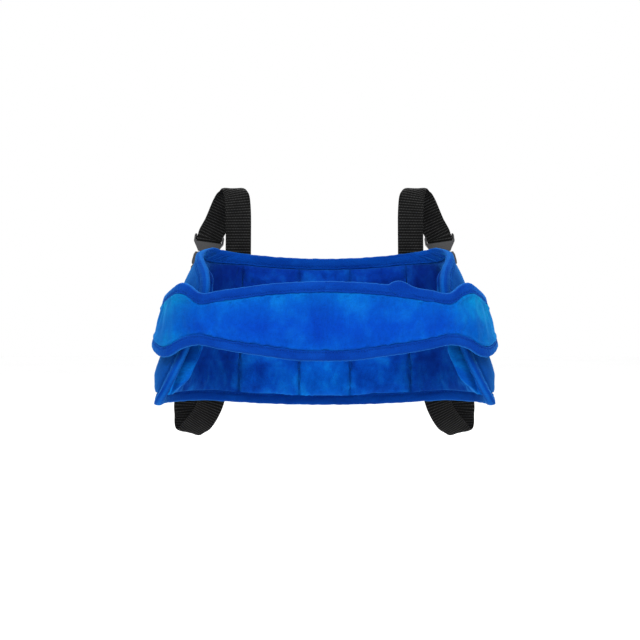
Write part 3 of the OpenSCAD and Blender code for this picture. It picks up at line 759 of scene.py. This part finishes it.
def tape_rings(stations, profile, point, seed):
    """Rings of tape at stations, which point() places with a distance in and an n. The
    tape puckers a little where its thread pulls."""
    draw = np.random.default_rng(seed)
    count = len(stations)
    k = np.arange(count)
    rate = 2 * math.pi / count
    free = sum(np.sin(k * rate * c + draw.uniform(0, 6.28)) for c in (31, 47, 66, 88, 121)) / 2.2
    loose = sum(np.sin(k * rate * c + draw.uniform(0, 6.28)) for c in (43, 71, 97, 139)) / 2
    out = clamp((profile[:, 0] - 1) / 3)
    d = profile[None, :, 0] + 0.22 * np.outer(free, out) - 0.16 * np.outer(loose, 1 - out)
    n = profile[None, :, 1] * (1 + 0.035 * loose[:, None] * (profile[None, :, 0] > 0))
    return point(stations, d, n)


def tape(name, rings, material, closed, turned=False):
    """A skin of tape whose cloth places run across from the middle of its fold. turned says
    that the points of each ring run the other way."""
    across = distances(rings[0])
    across -= across[-1 - FOLD_POINT if turned else FOLD_POINT]
    places = np.stack(np.meshgrid(across, distances(rings[:, RUN_POINT])), -1)
    return make(name, rings, swept(rings, closed), material, places, sharp=70)


def corner_stations(at, v, quarters, count):
    """Stations round a corner. Its tape turns a quarter, at first from facing down to facing
    right, and is quarters further round."""
    out = []
    for angle in np.radians(np.linspace(0, 90, count))[1:-1]:
        side, up = math.sin(angle), -math.cos(angle)
        for _ in range(quarters):
            side, up = -up, side
        out.append([at, v, side, up, 1])
    return out


def corner_gaps(stations, d, radius):
    """The places along and up of stations, and how far in from the side and from the end
    the distance d in from the edge is: on a round corner it runs along the radius."""
    at, v, side, up, corner = (stations[:, k, None] for k in range(5))
    return at, v, *(np.where(corner > 0, radius - (radius - d) * np.abs(way), d * np.abs(way))
                    for way in (side, up))


def stitch_runs(stations, point, d, n):
    """A row of stitches on each face of a tape, as [line, up]: d in and n out."""
    d, runs = np.full((len(stations), 1), d), []
    for sign in (1, -1):
        line = point(stations, d, sign * n)[:, 0]
        runs.append((line, unit(point(stations, d, sign * (n + 1))[:, 0] - line)))
    return runs


def pad_stations(step):
    """Stations round the pad's edge from its lower left corner, as [u, v, side, up, corner]:
    side and up say which way the tape faces, and corner is 1 on a round corner."""
    flat = 1 - CORNER_R / RIM_W * (1 - RIM_U)
    us = np.concatenate([np.linspace(-flat, -OUTER_U, round(110 / step)),
                         np.linspace(-OUTER_U, OUTER_U, round(160 / step))[1:-1],
                         np.linspace(OUTER_U, flat, round(110 / step))])
    vs = np.linspace(CORNER_R, PAD_H - CORNER_R, round(170 / step)) / PAD_H
    out = [[u, 0, 0, -1, 0] for u in us] + corner_stations(1, 0, 0, 8)
    out += [[1, v, 1, 0, 0] for v in vs] + corner_stations(1, 1, 1, 8)
    out += [[u, 1, 0, 1, 0] for u in us[::-1]] + corner_stations(-1, 1, 2, 8)
    out += [[-1, v, -1, 0, 0] for v in vs[::-1]] + corner_stations(-1, 0, 3, 8)
    return np.array(out)


def pad_tape_point(stations, d, n):
    u, v, gap, near = corner_gaps(stations, d, CORNER_R)
    at_u = u - np.sign(u) * gap / RIM_W * (1 - RIM_U)
    at_v = v - np.where(v > 0.5, 1, -1) * near / PAD_H
    # The fold is fuller on the outside of each wing's low tip
    tip = smooth((np.abs(run(at_u, at_v)) - 125) / 40) * bell(at_v * PAD_H, 15)
    return pad_point(at_u, at_v, n + 1.3 * tip * clamp((n - 1) / 2))


pad_path = pad_stations(1.9)
pad_rings = tape_rings(pad_path, tape_profile(TAPE_W), pad_tape_point, 3)
pad_tape = tape("pad_binding_tape", pad_rings, TAPE_PAD, True)
place_on(pad_tape, "pad", ["pad_binding"])


closed_path = np.concatenate([pad_path, pad_path[:1]])
edge_runs = stitch_runs(closed_path, pad_tape_point, TAPE_W - STITCH_IN, PAD_STITCH_N)
place_on(stitching("pad_edge_stitches", edge_runs, THREAD), "pad")

# Rows of thread down the four quilting seams
face = np.array([v.co for v in plush.data.vertices]).reshape(2, *fine_u.shape, 3)[0] / MM
rows = slice(int(0.075 * len(fine_u)), int(0.925 * len(fine_u)))
seam_runs = []
for u in (-INNER_U, -OUTER_U, INNER_U, OUTER_U):
    column = int(np.argmin(np.abs(fine_u[len(fine_u) // 2] - u)))
    up = normals(face)[rows, column]
    seam_runs.append((face[rows, column] - 0.35 * up, up))
seams = stitching("channel_thread", seam_runs, THREAD)
place_on(seams, "pad", ["channel_stitching"])

# ---- Shape of the band ----
# w runs from 0 in the middle of the band to 7 at a tab's end, v up it, n to its outside.

KNOT_Y = np.array([-139, -137.5, -132, -118, -103, -76, -46, -20])
KNOT_X = np.array([0, 46, 86, 116, 131, 142, 143, 130])
KNOT_LEAN = np.array([0, 0, 0, 0.35, 0.8, 1, 1, 1])
WING_CLEAR = np.array([0, 0, 0, 5.2, 5.1, 5.1, 5.1, 5.1])
BAND_TOP = [29.7, 29, 27.5, 24.8, 22.4, 20.4, 27.7, 29.3, 27.1, 23.4, 20.3, 19, 18.4, 18, 18]
BAND_LOW = [-31.6, -31.2, -28.2, -25.4, -22.1, -19, -21.8, -27.7, -29.6, -27, -23, -20.5, -19.5,
            -19.2, -19]
BAND_END, KNOT_RUN, RIM_V, LEAN_V = 7, 25.0, 0.25, 0.51
BAND_EDGE, BAND_SHOULDER, BAND_HALF, TAB_HALF = 7.8, 9.5, 4.6, 3.1
BAND_RIM = BAND_EDGE + BAND_SHOULDER
BAND_TAPE_W, TAB_CORNER = BAND_EDGE - 0.4, 13.0


def knots_at_height(z):
    """The band's knots at one height: they lean with the wing and keep clear of it."""
    v = float(clamp((z - PAD_LOW - LOW_RISE) / (PAD_H + TOP_RISE - LOW_RISE)))
    s = 40 + (full_run(v) - 40) * np.linspace(0, 1, 31)
    gap = full_run(v) - s
    half = half_at(gap, v)
    tape_room = np.where(gap < EDGE_W + 2, 1.55, 0)
    x, y = cut(v, s, half + shift(half, v) - dent(s, half, v) + tape_room)
    found = []
    for k in range(BAND_END + 1):
        off = y - KNOT_Y[k]
        near = np.abs(off) < WING_CLEAR[k]
        touch = x[near] + np.sqrt(WING_CLEAR[k] ** 2 - off[near] ** 2)
        free = KNOT_X[k] + KNOT_LEAN[k] * (reach(v) - reach(LEAN_V))
        found.append([max([free, *touch]), KNOT_Y[k]])
    return found


TABLE_LOW, TABLE_STEP = -36.0, 1.0
KNOTS = np.array([knots_at_height(TABLE_LOW + k * TABLE_STEP) for k in range(73)])


def band_line(q, z):
    """Middle line of a level cut through the band at knot number q."""
    t = clamp((z - TABLE_LOW) / TABLE_STEP, 0, len(KNOTS) - 1.001)
    row = np.floor(t).astype(int)
    share = (t - row)[..., None, None]
    knots = KNOTS[row] * (1 - share) + KNOTS[row + 1] * share
    ends = with_ends(knots, -2)
    i = np.clip(np.floor(q).astype(int), 0, BAND_END - 1)
    a, b, c, d = (np.take_along_axis(ends, (i + k)[..., None, None], -2)[..., 0, :]
                  for k in range(4))
    return weigh(a, b, c, d, (q - i)[..., None])


def band_edge_at(knots, w):
    """Height of an edge of the band, level in the middle."""
    return curve(knots[1:2] + knots, 1 + 2 * np.minimum(np.abs(w), BAND_END))


def band_foot(w):
    return band_edge_at(BAND_LOW, w)


def band_height(w):
    return band_edge_at(BAND_TOP, w) - band_foot(w)


def band_up(w, v):
    middle = BAND_RIM + (band_height(w) - 2 * BAND_RIM) * (v - RIM_V) / (1 - 2 * RIM_V)
    high = band_height(w) - BAND_RIM * (1 - v) / RIM_V
    return np.where(v < RIM_V, BAND_RIM * v / RIM_V, np.where(v > 1 - RIM_V, high, middle))


def band_v_at(w, up):
    """v at a height above the band's lower edge."""
    high = band_height(w) - up
    middle = RIM_V + (up - BAND_RIM) / (band_height(w) - 2 * BAND_RIM) * (1 - 2 * RIM_V)
    return np.where(up < BAND_RIM, up / BAND_RIM * RIM_V,
                    np.where(high < BAND_RIM, 1 - high / BAND_RIM * RIM_V, middle))


def band_point(w, v, n):
    w, v, n = np.broadcast_arrays(np.asarray(w, float), v, n)
    q = np.minimum(np.abs(w), BAND_END)
    z = band_foot(q) + band_up(q, v)
    step = band_line(np.minimum(BAND_END, q + 0.02), z) - band_line(np.maximum(0, q - 0.02), z)
    along = unit(np.where((q < 0.01)[..., None], [1.0, 0.0], step))
    out = np.stack([along[..., 1], -along[..., 0]], -1)
    past = (np.abs(w) - q)[..., None]
    p = band_line(q, z) + n[..., None] * out + past * KNOT_RUN * along
    return np.stack([np.where(w < 0, -1, 1) * p[..., 0], p[..., 1], z], -1)


def tab_gap(w):
    """Distance along the band to the end of its tab."""
    return (BAND_END - np.abs(w)) * KNOT_RUN


def band_half(w, v):
    """Half the band's thickness."""
    full = BAND_HALF + (TAB_HALF - BAND_HALF) * clamp((np.abs(w) - 2) / 2)
    up = band_up(w, v)
    return EDGE_HALF + (full - EDGE_HALF) * fullness(
        BAND_EDGE, BAND_SHOULDER, up, band_height(w) - up, tab_gap(w))


def band_rounded(w, v):
    """Pulls the corners of the tabs in to round ones."""
    up = band_up(w, v)
    end, near, inside = round_corner(
        tab_gap(w), np.minimum(up, band_height(w) - up), TAB_CORNER)
    near = near / BAND_RIM * RIM_V
    return (np.sign(w) * (BAND_END - end / KNOT_RUN),
            np.where(inside, np.where(v < 0.5, near, 1 - near), v))


half_ws = np.concatenate([np.linspace(0, 1.84, 21), np.linspace(2, 3, 12), np.linspace(
    3.15, 5.5, 18), np.linspace(5.66, 6.4, 6), BAND_END - np.array([0.5, 0.42, 0.3, 0.15, 0])])
rim_vs = np.array([0, 4, 7.3, 8.8, 11, 14, BAND_RIM]) / BAND_RIM * RIM_V
band_ws = np.concatenate([-half_ws[:0:-1], half_ws])
band_vs = np.concatenate([rim_vs, [0.34, 0.42, 0.5, 0.58, 0.66], 1 - rim_vs[::-1]])
BAND_W, BAND_V = band_rounded(*np.meshgrid(band_ws, band_vs))
BAND_H2 = band_half(BAND_W, BAND_V)
up_room = band_up(BAND_W, BAND_V)
band_room = np.minimum(np.minimum(up_room, band_height(BAND_W) - up_room), tab_gap(BAND_W))
band_slack = 0.9 * clamp((band_room - BAND_EDGE) / 6)
band_puff = (smooth((band_room - BAND_EDGE) / 4) * smooth((16 - band_room) / 8)
             * smooth((2.6 - np.abs(BAND_W)) / 0.8) * smooth((BAND_V - 0.6) / 0.2))
band_front = band_point(BAND_W, BAND_V + 1.9 * band_puff / BAND_RIM * RIM_V,
                        BAND_H2 - band_slack + 0.8 * band_puff)
band_back = band_point(BAND_W, BAND_V, 0.4 * band_slack - BAND_H2)
puffed_front, puffed_back = inflate(band_front, band_back, band_room < BAND_EDGE, 2.6, 0.02)
puffed_back = band_back + 0.15 * (puffed_back - band_back)

band_fine_w, band_fine_v = finer_values(BAND_W, FINE), finer_values(BAND_V, FINE)
band_fine_v = clamp(band_fine_v)
band_run = distances(band_point(band_fine_w[len(band_fine_w) // 2], 0.5, 0))
band_run -= band_run[len(band_run) // 2]
band_places = np.stack([np.broadcast_to(band_run, band_fine_w.shape),
                        band_foot(band_fine_w) + band_up(band_fine_w, band_fine_v) + 200], -1)
band_fine_room = np.minimum(np.minimum(band_fine_v, 1 - band_fine_v) / RIM_V * BAND_RIM,
                            tab_gap(band_fine_w))
band_inward = clamp((band_fine_room - BAND_EDGE) / 5)
band_beside_tape = bell(band_fine_room - BAND_EDGE - 1.2, 1.5)


def band_dressed(grid, towards, seed):
    """A finer sheet of the band with the soft folds of its bend round the wing."""
    sheet = finer(grid, FINE)
    away = normals(sheet) * towards
    x, z = band_places[..., 0], band_places[..., 1]
    q = np.abs(band_fine_w)
    folds = (np.sin(np.abs(x) * 0.42 + 0.05 * z) * bell(q - 3.3, 0.75)
             + 0.6 * np.sin(np.abs(x) * 0.3 - 0.12 * z + 1) * bell(q - 4.6, 0.8))
    ripple = 0.16 * waves(x, z, seed, scale=0.17) + 0.3 * waves(x, z, seed + 1, scale=0.05)
    lift = (0.16 * folds + ripple) * band_inward + 1.0 * band_beside_tape
    return sheet + away * lift[..., None]


def half_of(grid, side):
    """The left or the right half of a grid of the whole band."""
    middle = grid.shape[1] // 2
    return grid[:, middle:] if side > 0 else grid[:, : middle + 1]


def across_tab(obj, name, side, middle=(), tab=()):
    """Keeps a band piece that runs over the corner of the wing to its tab in place, and hides these
    CAD nodes of its tab, and for the right half those of the band's middle too."""
    nodes = [*(middle if side > 0 else ()), *(f"{node}_{name}" for node in tab)]
    return place_on(obj, ("front_band", f"tab_{name}"), nodes)


band_out, band_in = band_dressed(puffed_front, 1, 21), band_dressed(puffed_back, -1, 25)
for name, side in SIDES:
    outer, inner, spots = (half_of(grid, side) for grid in (band_out, band_in, band_places))
    face = cloth_sheet(f"band_plush_{name}", outer, BAND_PLUSH_T, PLUSH_BAND, spots)
    lining = cloth_sheet(f"band_lining_{name}", inner, LINING_T, VELOUR, spots, True)
    across_tab(face, name, side, ["band_face", "band_foam"],
               ["tab_face", "tab_foam"])
    across_tab(lining, name, side, ["band_lining"], ["tab_lining"])


def band_stations(step):
    """Stations round half of the band, from the middle of its lower edge to the middle of
    its upper edge, as [w, v, side, up, corner]."""
    ws = np.linspace(0, BAND_END - TAB_CORNER / KNOT_RUN, round(220 / step))
    height = float(band_height(BAND_END))
    rise = band_v_at(BAND_END, np.linspace(TAB_CORNER, height - TAB_CORNER, 8)[1:-1])
    out = [[w, 0, 0, -1, 0] for w in ws] + corner_stations(BAND_END, 0, 0, 9)
    out += [[BAND_END, v, 1, 0, 0] for v in rise] + corner_stations(BAND_END, 1, 1, 9)
    return np.array(out + [[w, 1, 0, 1, 0] for w in ws[::-1]])


def band_tape_point(stations, d, n):
    w, v, gap, near = corner_gaps(stations, d, TAB_CORNER)
    at_v = v - np.where(v > 0.5, 1, -1) * near / BAND_RIM * RIM_V
    return band_point(w - gap / KNOT_RUN, at_v, n)


def other_side(rings, side):
    """Points of the right half as they are, or mirrored to the left."""
    return rings if side > 0 else rings * [-1, 1, 1]


def other_side_runs(runs, side):
    return [(other_side(line, side), other_side(up, side)) for line, up in runs]


band_path = band_stations(1.7)
edge_runs = stitch_runs(band_path, band_tape_point, BAND_TAPE_W - STITCH_IN, BAND_STITCH_N)
for seed, (name, side) in enumerate(SIDES, 31):
    rings = tape_rings(band_path, tape_profile(BAND_TAPE_W), band_tape_point, seed)
    rings[[0, -1], :, 0] = 0
    rings = other_side(rings, side)
    piece = tape(f"band_tape_{name}", rings[:, ::-1] if side > 0 else rings, TAPE, False, side > 0)
    across_tab(piece, name, side, ["band_binding"], ["tab_binding"])
    thread = stitching(f"band_stitches_{name}", other_side_runs(edge_runs, side), THREAD)
    across_tab(thread, name, side)

# The tape's end laps over its start on the top edge, cut off aslant and pushed up a little
lap = np.linspace(0, 1, 26)
lap_profile = tape_profile(BAND_TAPE_W + 0.3, TAPE_T + 0.5)
lap_d, lap_n = lap_profile[None, :, 0], lap_profile[None, :, 1]
lap_w = 1.1 + 1.05 * lap[:, None] + 0.03 * (1 - lap[:, None]) * clamp(lap_d, 0, 8)
lap_up = (4.2 * bell(lap - 0.24, 0.2) - 1.6 * bell(lap, 0.07))[:, None] * clamp(1 - lap_d / 9)
lap_v = 1 - (lap_d - lap_up) / BAND_RIM * RIM_V
swell = 1 - 0.28 * smooth((lap[:, None] - 0.75) / 0.25)
lap_rings = band_point(lap_w, lap_v, lap_n * swell)
lap_end = tape("band_tape_end", lap_rings[:, ::-1], TAPE, False, True)
place_on(lap_end, "front_band")

# Hook patches: a strip sewn to the lining, set with rows of small hooks towards the wing.
# Half the strip's length and height, how far its corners are rounded, and its place
STRIP_HALF_X, STRIP_HALF_Z, STRIP_CORNER, STRIP_W = 25, 9.5, 3.2, 5.3


def on_lining(w, up):
    """Points of the lining at w and at a height above the band's lower edge."""
    v = band_v_at(w, up)
    row, col = len(band_fine_w) // 2, band_fine_w.shape[1] // 2
    r = np.interp(v, band_fine_v[:, col], np.arange(len(band_fine_v)))
    c = np.interp(w, band_fine_w[row], np.arange(len(band_fine_w[row])))
    i, j = np.floor(r).astype(int), np.floor(c).astype(int)
    f, g = (r - i)[..., None], (c - j)[..., None]
    return ((1 - f) * ((1 - g) * band_in[i, j] + g * band_in[i, j + 1])
            + f * ((1 - g) * band_in[i + 1, j] + g * band_in[i + 1, j + 1]))


strip_x, strip_z = np.meshgrid(np.linspace(-STRIP_HALF_X, STRIP_HALF_X, 41),
                               np.linspace(-STRIP_HALF_Z, STRIP_HALF_Z, 17))
corner = np.sqrt(1 - clamp((np.abs(strip_x) - 22) / STRIP_CORNER) ** 2)
strip_z = strip_z * (1 - (1 - corner) * STRIP_CORNER / STRIP_HALF_Z)
strip_places = np.stack([strip_x, strip_z], -1)
for name, side in SIDES:
    w = side * STRIP_W + strip_x / KNOT_RUN
    strip = on_lining(w, band_height(w) / 2 + strip_z)
    away = -normals(strip)
    strip = strip + 0.75 * away
    base = cloth_sheet(f"hook_strip_{name}", strip, 0.9, HOOK, strip_places, True)
    place_on(base, f"tab_{name}", [f"hook_patch_{name}"])
    along, points, faces = unit(np.gradient(strip, axis=1)), [], []
    for at in np.ndindex(15, 39):
        # Each hook is a small pyramid whose tip leans along the strip
        at, start = (at[0] + 1, at[1] + 1), len(points)
        up = np.cross(away[at], along[at])
        points += [strip[at] + 0.32 * (along[at] * math.cos(t) + up * math.sin(t)) - 0.05 * away[at]
                   for t in np.radians([45, 135, 225, 315])]
        points.append(strip[at] + 0.4 * away[at] + 0.15 * along[at])
        faces += [[start + k, start + (k + 1) % 4, start + 4] for k in range(4)]
        faces.append([start + 3, start + 2, start + 1, start])
    place_on(make(f"hooks_{name}", points, faces, HOOK, sharp=30), f"tab_{name}")

# ---- Webbing ----

# Thickness of the webbing, the buckle's place and tilt, the bars that the webbing turns
# round, and how far behind the buckle it runs
WEB_T = 1.3
BUCKLE_AT, BUCKLE_TILT = np.array([114.4, 41, 66.5]), math.radians(8)
UP_X, UP_Z = -math.sin(BUCKLE_TILT), math.cos(BUCKLE_TILT)
WRAP_R, PLUG_BAR, SOCKET_BAR, RUN_Y = 2.35, 13.4, -39.2, 1.0


def at_buckle(z, y):
    """Knot in the buckle's own frame: z along it and y towards the back."""
    return [BUCKLE_AT[0] + UP_X * z, BUCKLE_AT[1] + y, BUCKLE_AT[2] + UP_Z * z, UP_Z, 0, -UP_X]


def smooth_run(knots, steps=12):
    return curve(knots, np.arange((len(knots) - 1) * steps + 1) / steps)


def bar_turn(z):
    """Half turn over the top of a bar, from the face at the back to the one in front."""
    return [at_buckle(z + WRAP_R * math.sin(a), WRAP_R * math.cos(a))
            for a in np.radians(np.arange(0, 181, 15))]


def slot_turn(z):
    """Turn under the plug's bar, where the webbing hangs a little over the panel's edge."""
    hang = [[0, -2.6], [-1.5, -3.8], [-3, -4.3], [-3.9, -3.9], [-3.2, -2], [-2.7, 0],
            [-1.8, 1.8], [0, 2.35]]
    return smooth_run([at_buckle(z + dz, y) for dz, y in hang], 4)


upper_knots = [
    [80.5, 1.1, 24, 1, 0, 0], [81, 1.1, 45, 1, 0, 0], [81.2, 1.3, 62, 1, 0, 0],
    [81.2, 3, 82, 1, 0, 0], [81.5, 6, 102, 1, 0, 0], [83.4, 12, 118.5, 1, 0, 0.03],
    [87.8, 20.5, 126.1, 1, 0, 0], [92.3, 30.5, 120, 0.97, 0, 0.15],
    [98, 35.5, 110.5, 0.91, 0, 0.38], [103.2, 38.2, 99, 0.93, 0, 0.36],
    [108, 39.4, 88.4, 0.98, 0, 0.2]]
upper_tail = [at_buckle(17, RUN_Y + 1), [108.2, 42.4, 90, 0.97, 0, 0.22],
              [103.6, 42, 98, 0.94, 0, 0.33]]
lower_knots = [
    [97.5, -0.7, -38, 0.96, -0.22, 0.1], [101, -1, -55, 0.95, -0.24, 0.18],
    [106, 0, -75, 0.94, -0.16, 0.3], [110.5, 4, -85.5, 0.9, -0.1, 0.42],
    [116.5, 10, -94.8, 0.88, -0.04, 0.46], [123.8, 18, -102.8, 0.96, 0, 0.28],
    [130, 26, -108.5, 0.97, 0, 0.24], [134, 35, -104.5, 0.98, 0, 0.18],
    [134.6, 40.5, -92, 0.99, 0, 0.14], at_buckle(-148, 0.9), at_buckle(-110, RUN_Y),
    at_buckle(-75, RUN_Y), at_buckle(-46, RUN_Y)]
lower_tail = [at_buckle(-44, -RUN_Y), at_buckle(-54, -RUN_Y), at_buckle(-64, -RUN_Y)]


def webbing(name, path, side, turn_z):
    """Ribbed webbing along a path of [position, width direction]. Its edges curl in a little
    where it turns over at the height turn_z."""
    steps = distances(path[:, :3])
    at = np.linspace(0, steps[-1], round(steps[-1] / (RIB / 6)))
    path = np.pad(at_distances(at, steps, path), ((4, 4), (0, 0)), "edge")
    path = np.stack([np.convolve(column, np.ones(9) / 9, "valid") for column in path.T], 1)
    along = unit(np.gradient(path[:, :3], axis=0))
    wide = unit(path[:, 3:] - np.sum(path[:, 3:] * along, 1, keepdims=True) * along)
    across = np.array([-12, -11.7, -10.8, -8.5, -5.7, -2.8, 0, 2.8, 5.7, 8.5, 10.8, 11.7, 12])
    bulk = np.array([0.25, 0.8, 1, 0.92, 0.9, 0.9, 0.9, 0.9, 0.9, 0.92, 1, 0.8, 0.25])
    dips = 1 - (0.5 + 0.5 * np.cos(2 * math.pi * at / RIB))
    half = WEB_T / 2 * (bulk[None] - 0.3 * dips[:, None] * (np.abs(across) < 11)[None])
    curl = np.where(path[:, 2] * turn_z > 0, bell(path[:, 2] - turn_z, 6.5), 0)[:, None, None]
    pull = np.array([0, 0, math.copysign(1.9, turn_z)]) * curl
    middle = path[:, None, :3] + (wide[:, None] * across[None, :, None] * (1 - 0.09 * curl)
                                  - pull * (np.abs(across)[:, None] / 12) ** 5)
    bulge = np.cross(along, wide)[:, None] * half[..., None]
    rings = other_side(np.concatenate([(middle + bulge)[:, ::-1], middle - bulge], 1), side)
    places = np.stack(np.meshgrid(np.concatenate([across[::-1], across + 40]), at), -1)
    if side < 0:
        rings, places = rings[:, ::-1], places[:, ::-1]
    return make(name, rings, swept(rings, False), WEBBING, places, sharp=75)


def box_stitches(at, right, up, width, height):
    """Runs of stitches in a box with a cross in it."""
    at, right, up = np.array(at, float), unit(np.array(right, float)), unit(np.array(up, float))
    out, w, h = np.cross(up, right), width / 2, height / 2
    ends = np.array([[-w, -h], [w, -h], [w, h], [-w, h]])
    lines = [np.linspace(ends[a], ends[b], 12)
             for a, b in ((0, 1), (1, 2), (2, 3), (3, 0), (0, 2), (1, 3))]
    return [(at + line[:, :1] * right + line[:, 1:] * up, np.tile(out, (len(line), 1)))
            for line in lines]


upper = np.concatenate([smooth_run(upper_knots), slot_turn(PLUG_BAR), smooth_run(upper_tail)])
lower = np.concatenate([smooth_run(lower_knots), bar_turn(SOCKET_BAR), smooth_run(lower_tail)])
sewn_ends = box_stitches((80.8, 1.8, 36), (1, 0, 0), (0, 0, 1), 18, 17)
sewn_ends += box_stitches((99.4, -0.1, -46), (0.96, -0.22, 0.1), (-0.2, 0, 0.98), 18, 15)
for name, side in SIDES:
    strap = webbing(f"upper_webbing_{name}", upper, side, 126)
    place_on(strap, ("pad", f"plug_{name}"), [f"upper_strap_{name}"])
    strap = webbing(f"lower_webbing_{name}", lower, side, -108)
    place_on(strap, "pad", [f"lower_strap_{name}"])
    thread = stitching(f"strap_thread_{name}", other_side_runs(sewn_ends, side), THREAD_BLACK)
    place_on(thread, "pad", [f"strap_stitching_{name}"])

# ---- CAD nodes that stay ----

for name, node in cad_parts.items():
    if name.startswith("buckle"):
        node.data.materials.clear()
        node.data.materials.append(BUCKLE)
        weld = node.modifiers.new("Weld", "WELD")
        weld.merge_threshold = 0.01 * MM
        bevel = node.modifiers.new("Bevel", "BEVEL")
        bevel.width, bevel.segments, bevel.angle_limit = 0.45 * MM, 3, math.radians(28)
        node.data.shade_smooth()
        node.modifiers.new("Normals", "WEIGHTED_NORMAL").keep_sharp = True

# ---- Floor, light and camera ----

FLOOR_Z, FLOOR_HALF = -0.24, 6
floor_mesh = bpy.data.meshes.new("floor")
floor_mesh.from_pydata([(x * FLOOR_HALF, y * FLOOR_HALF, FLOOR_Z)
                        for x, y in ((-1, -1), (1, -1), (1, 1), (-1, 1))], [], [(0, 1, 2, 3)])
paper = Nodes("paper", Roughness=0.9, Specular_IOR_Level=0.1)
floor_mesh.materials.append(paper.use(Base_Color=paper.greys(
    paper.noise(paper.object_place(), 2.0), (0.3, 0.985), (0.7, 1.0))))
add_object("floor", floor_mesh)

world = bpy.data.worlds.new("studio")
world.use_nodes = True
background = world.node_tree.nodes["Background"].inputs
background["Color"].default_value, background["Strength"].default_value = grey(1.0), 1.0
scene.world = world
scene.view_settings.view_transform = "Standard"


def soft_light(name, place, target, size, power):
    data = bpy.data.lights.new(name, "AREA")
    data.shape, data.size, data.energy = "DISK", size, power
    light, towards = add_object(name, data), Vector(target) - Vector(place)
    light.location, light.rotation_euler = place, towards.to_track_quat("-Z", "Y").to_euler()


for name, side in SIDES:
    soft_light(f"key_{name}", (side * 0.5, -1.1, 0.75), (0, -0.05, 0), 0.6, 12)
soft_light("rear", (0, 0.9, 1.1), (0, 0.3, -0.2), 1.2, 14)

camera_data = bpy.data.cameras.new("camera")
camera_data.sensor_width, camera_data.lens = 36, 59.8
scene.camera = add_object("camera", camera_data)
scene.camera.location = (-0.0042, -1.0, 0)
scene.camera.rotation_euler = (math.radians(90), 0, 0)
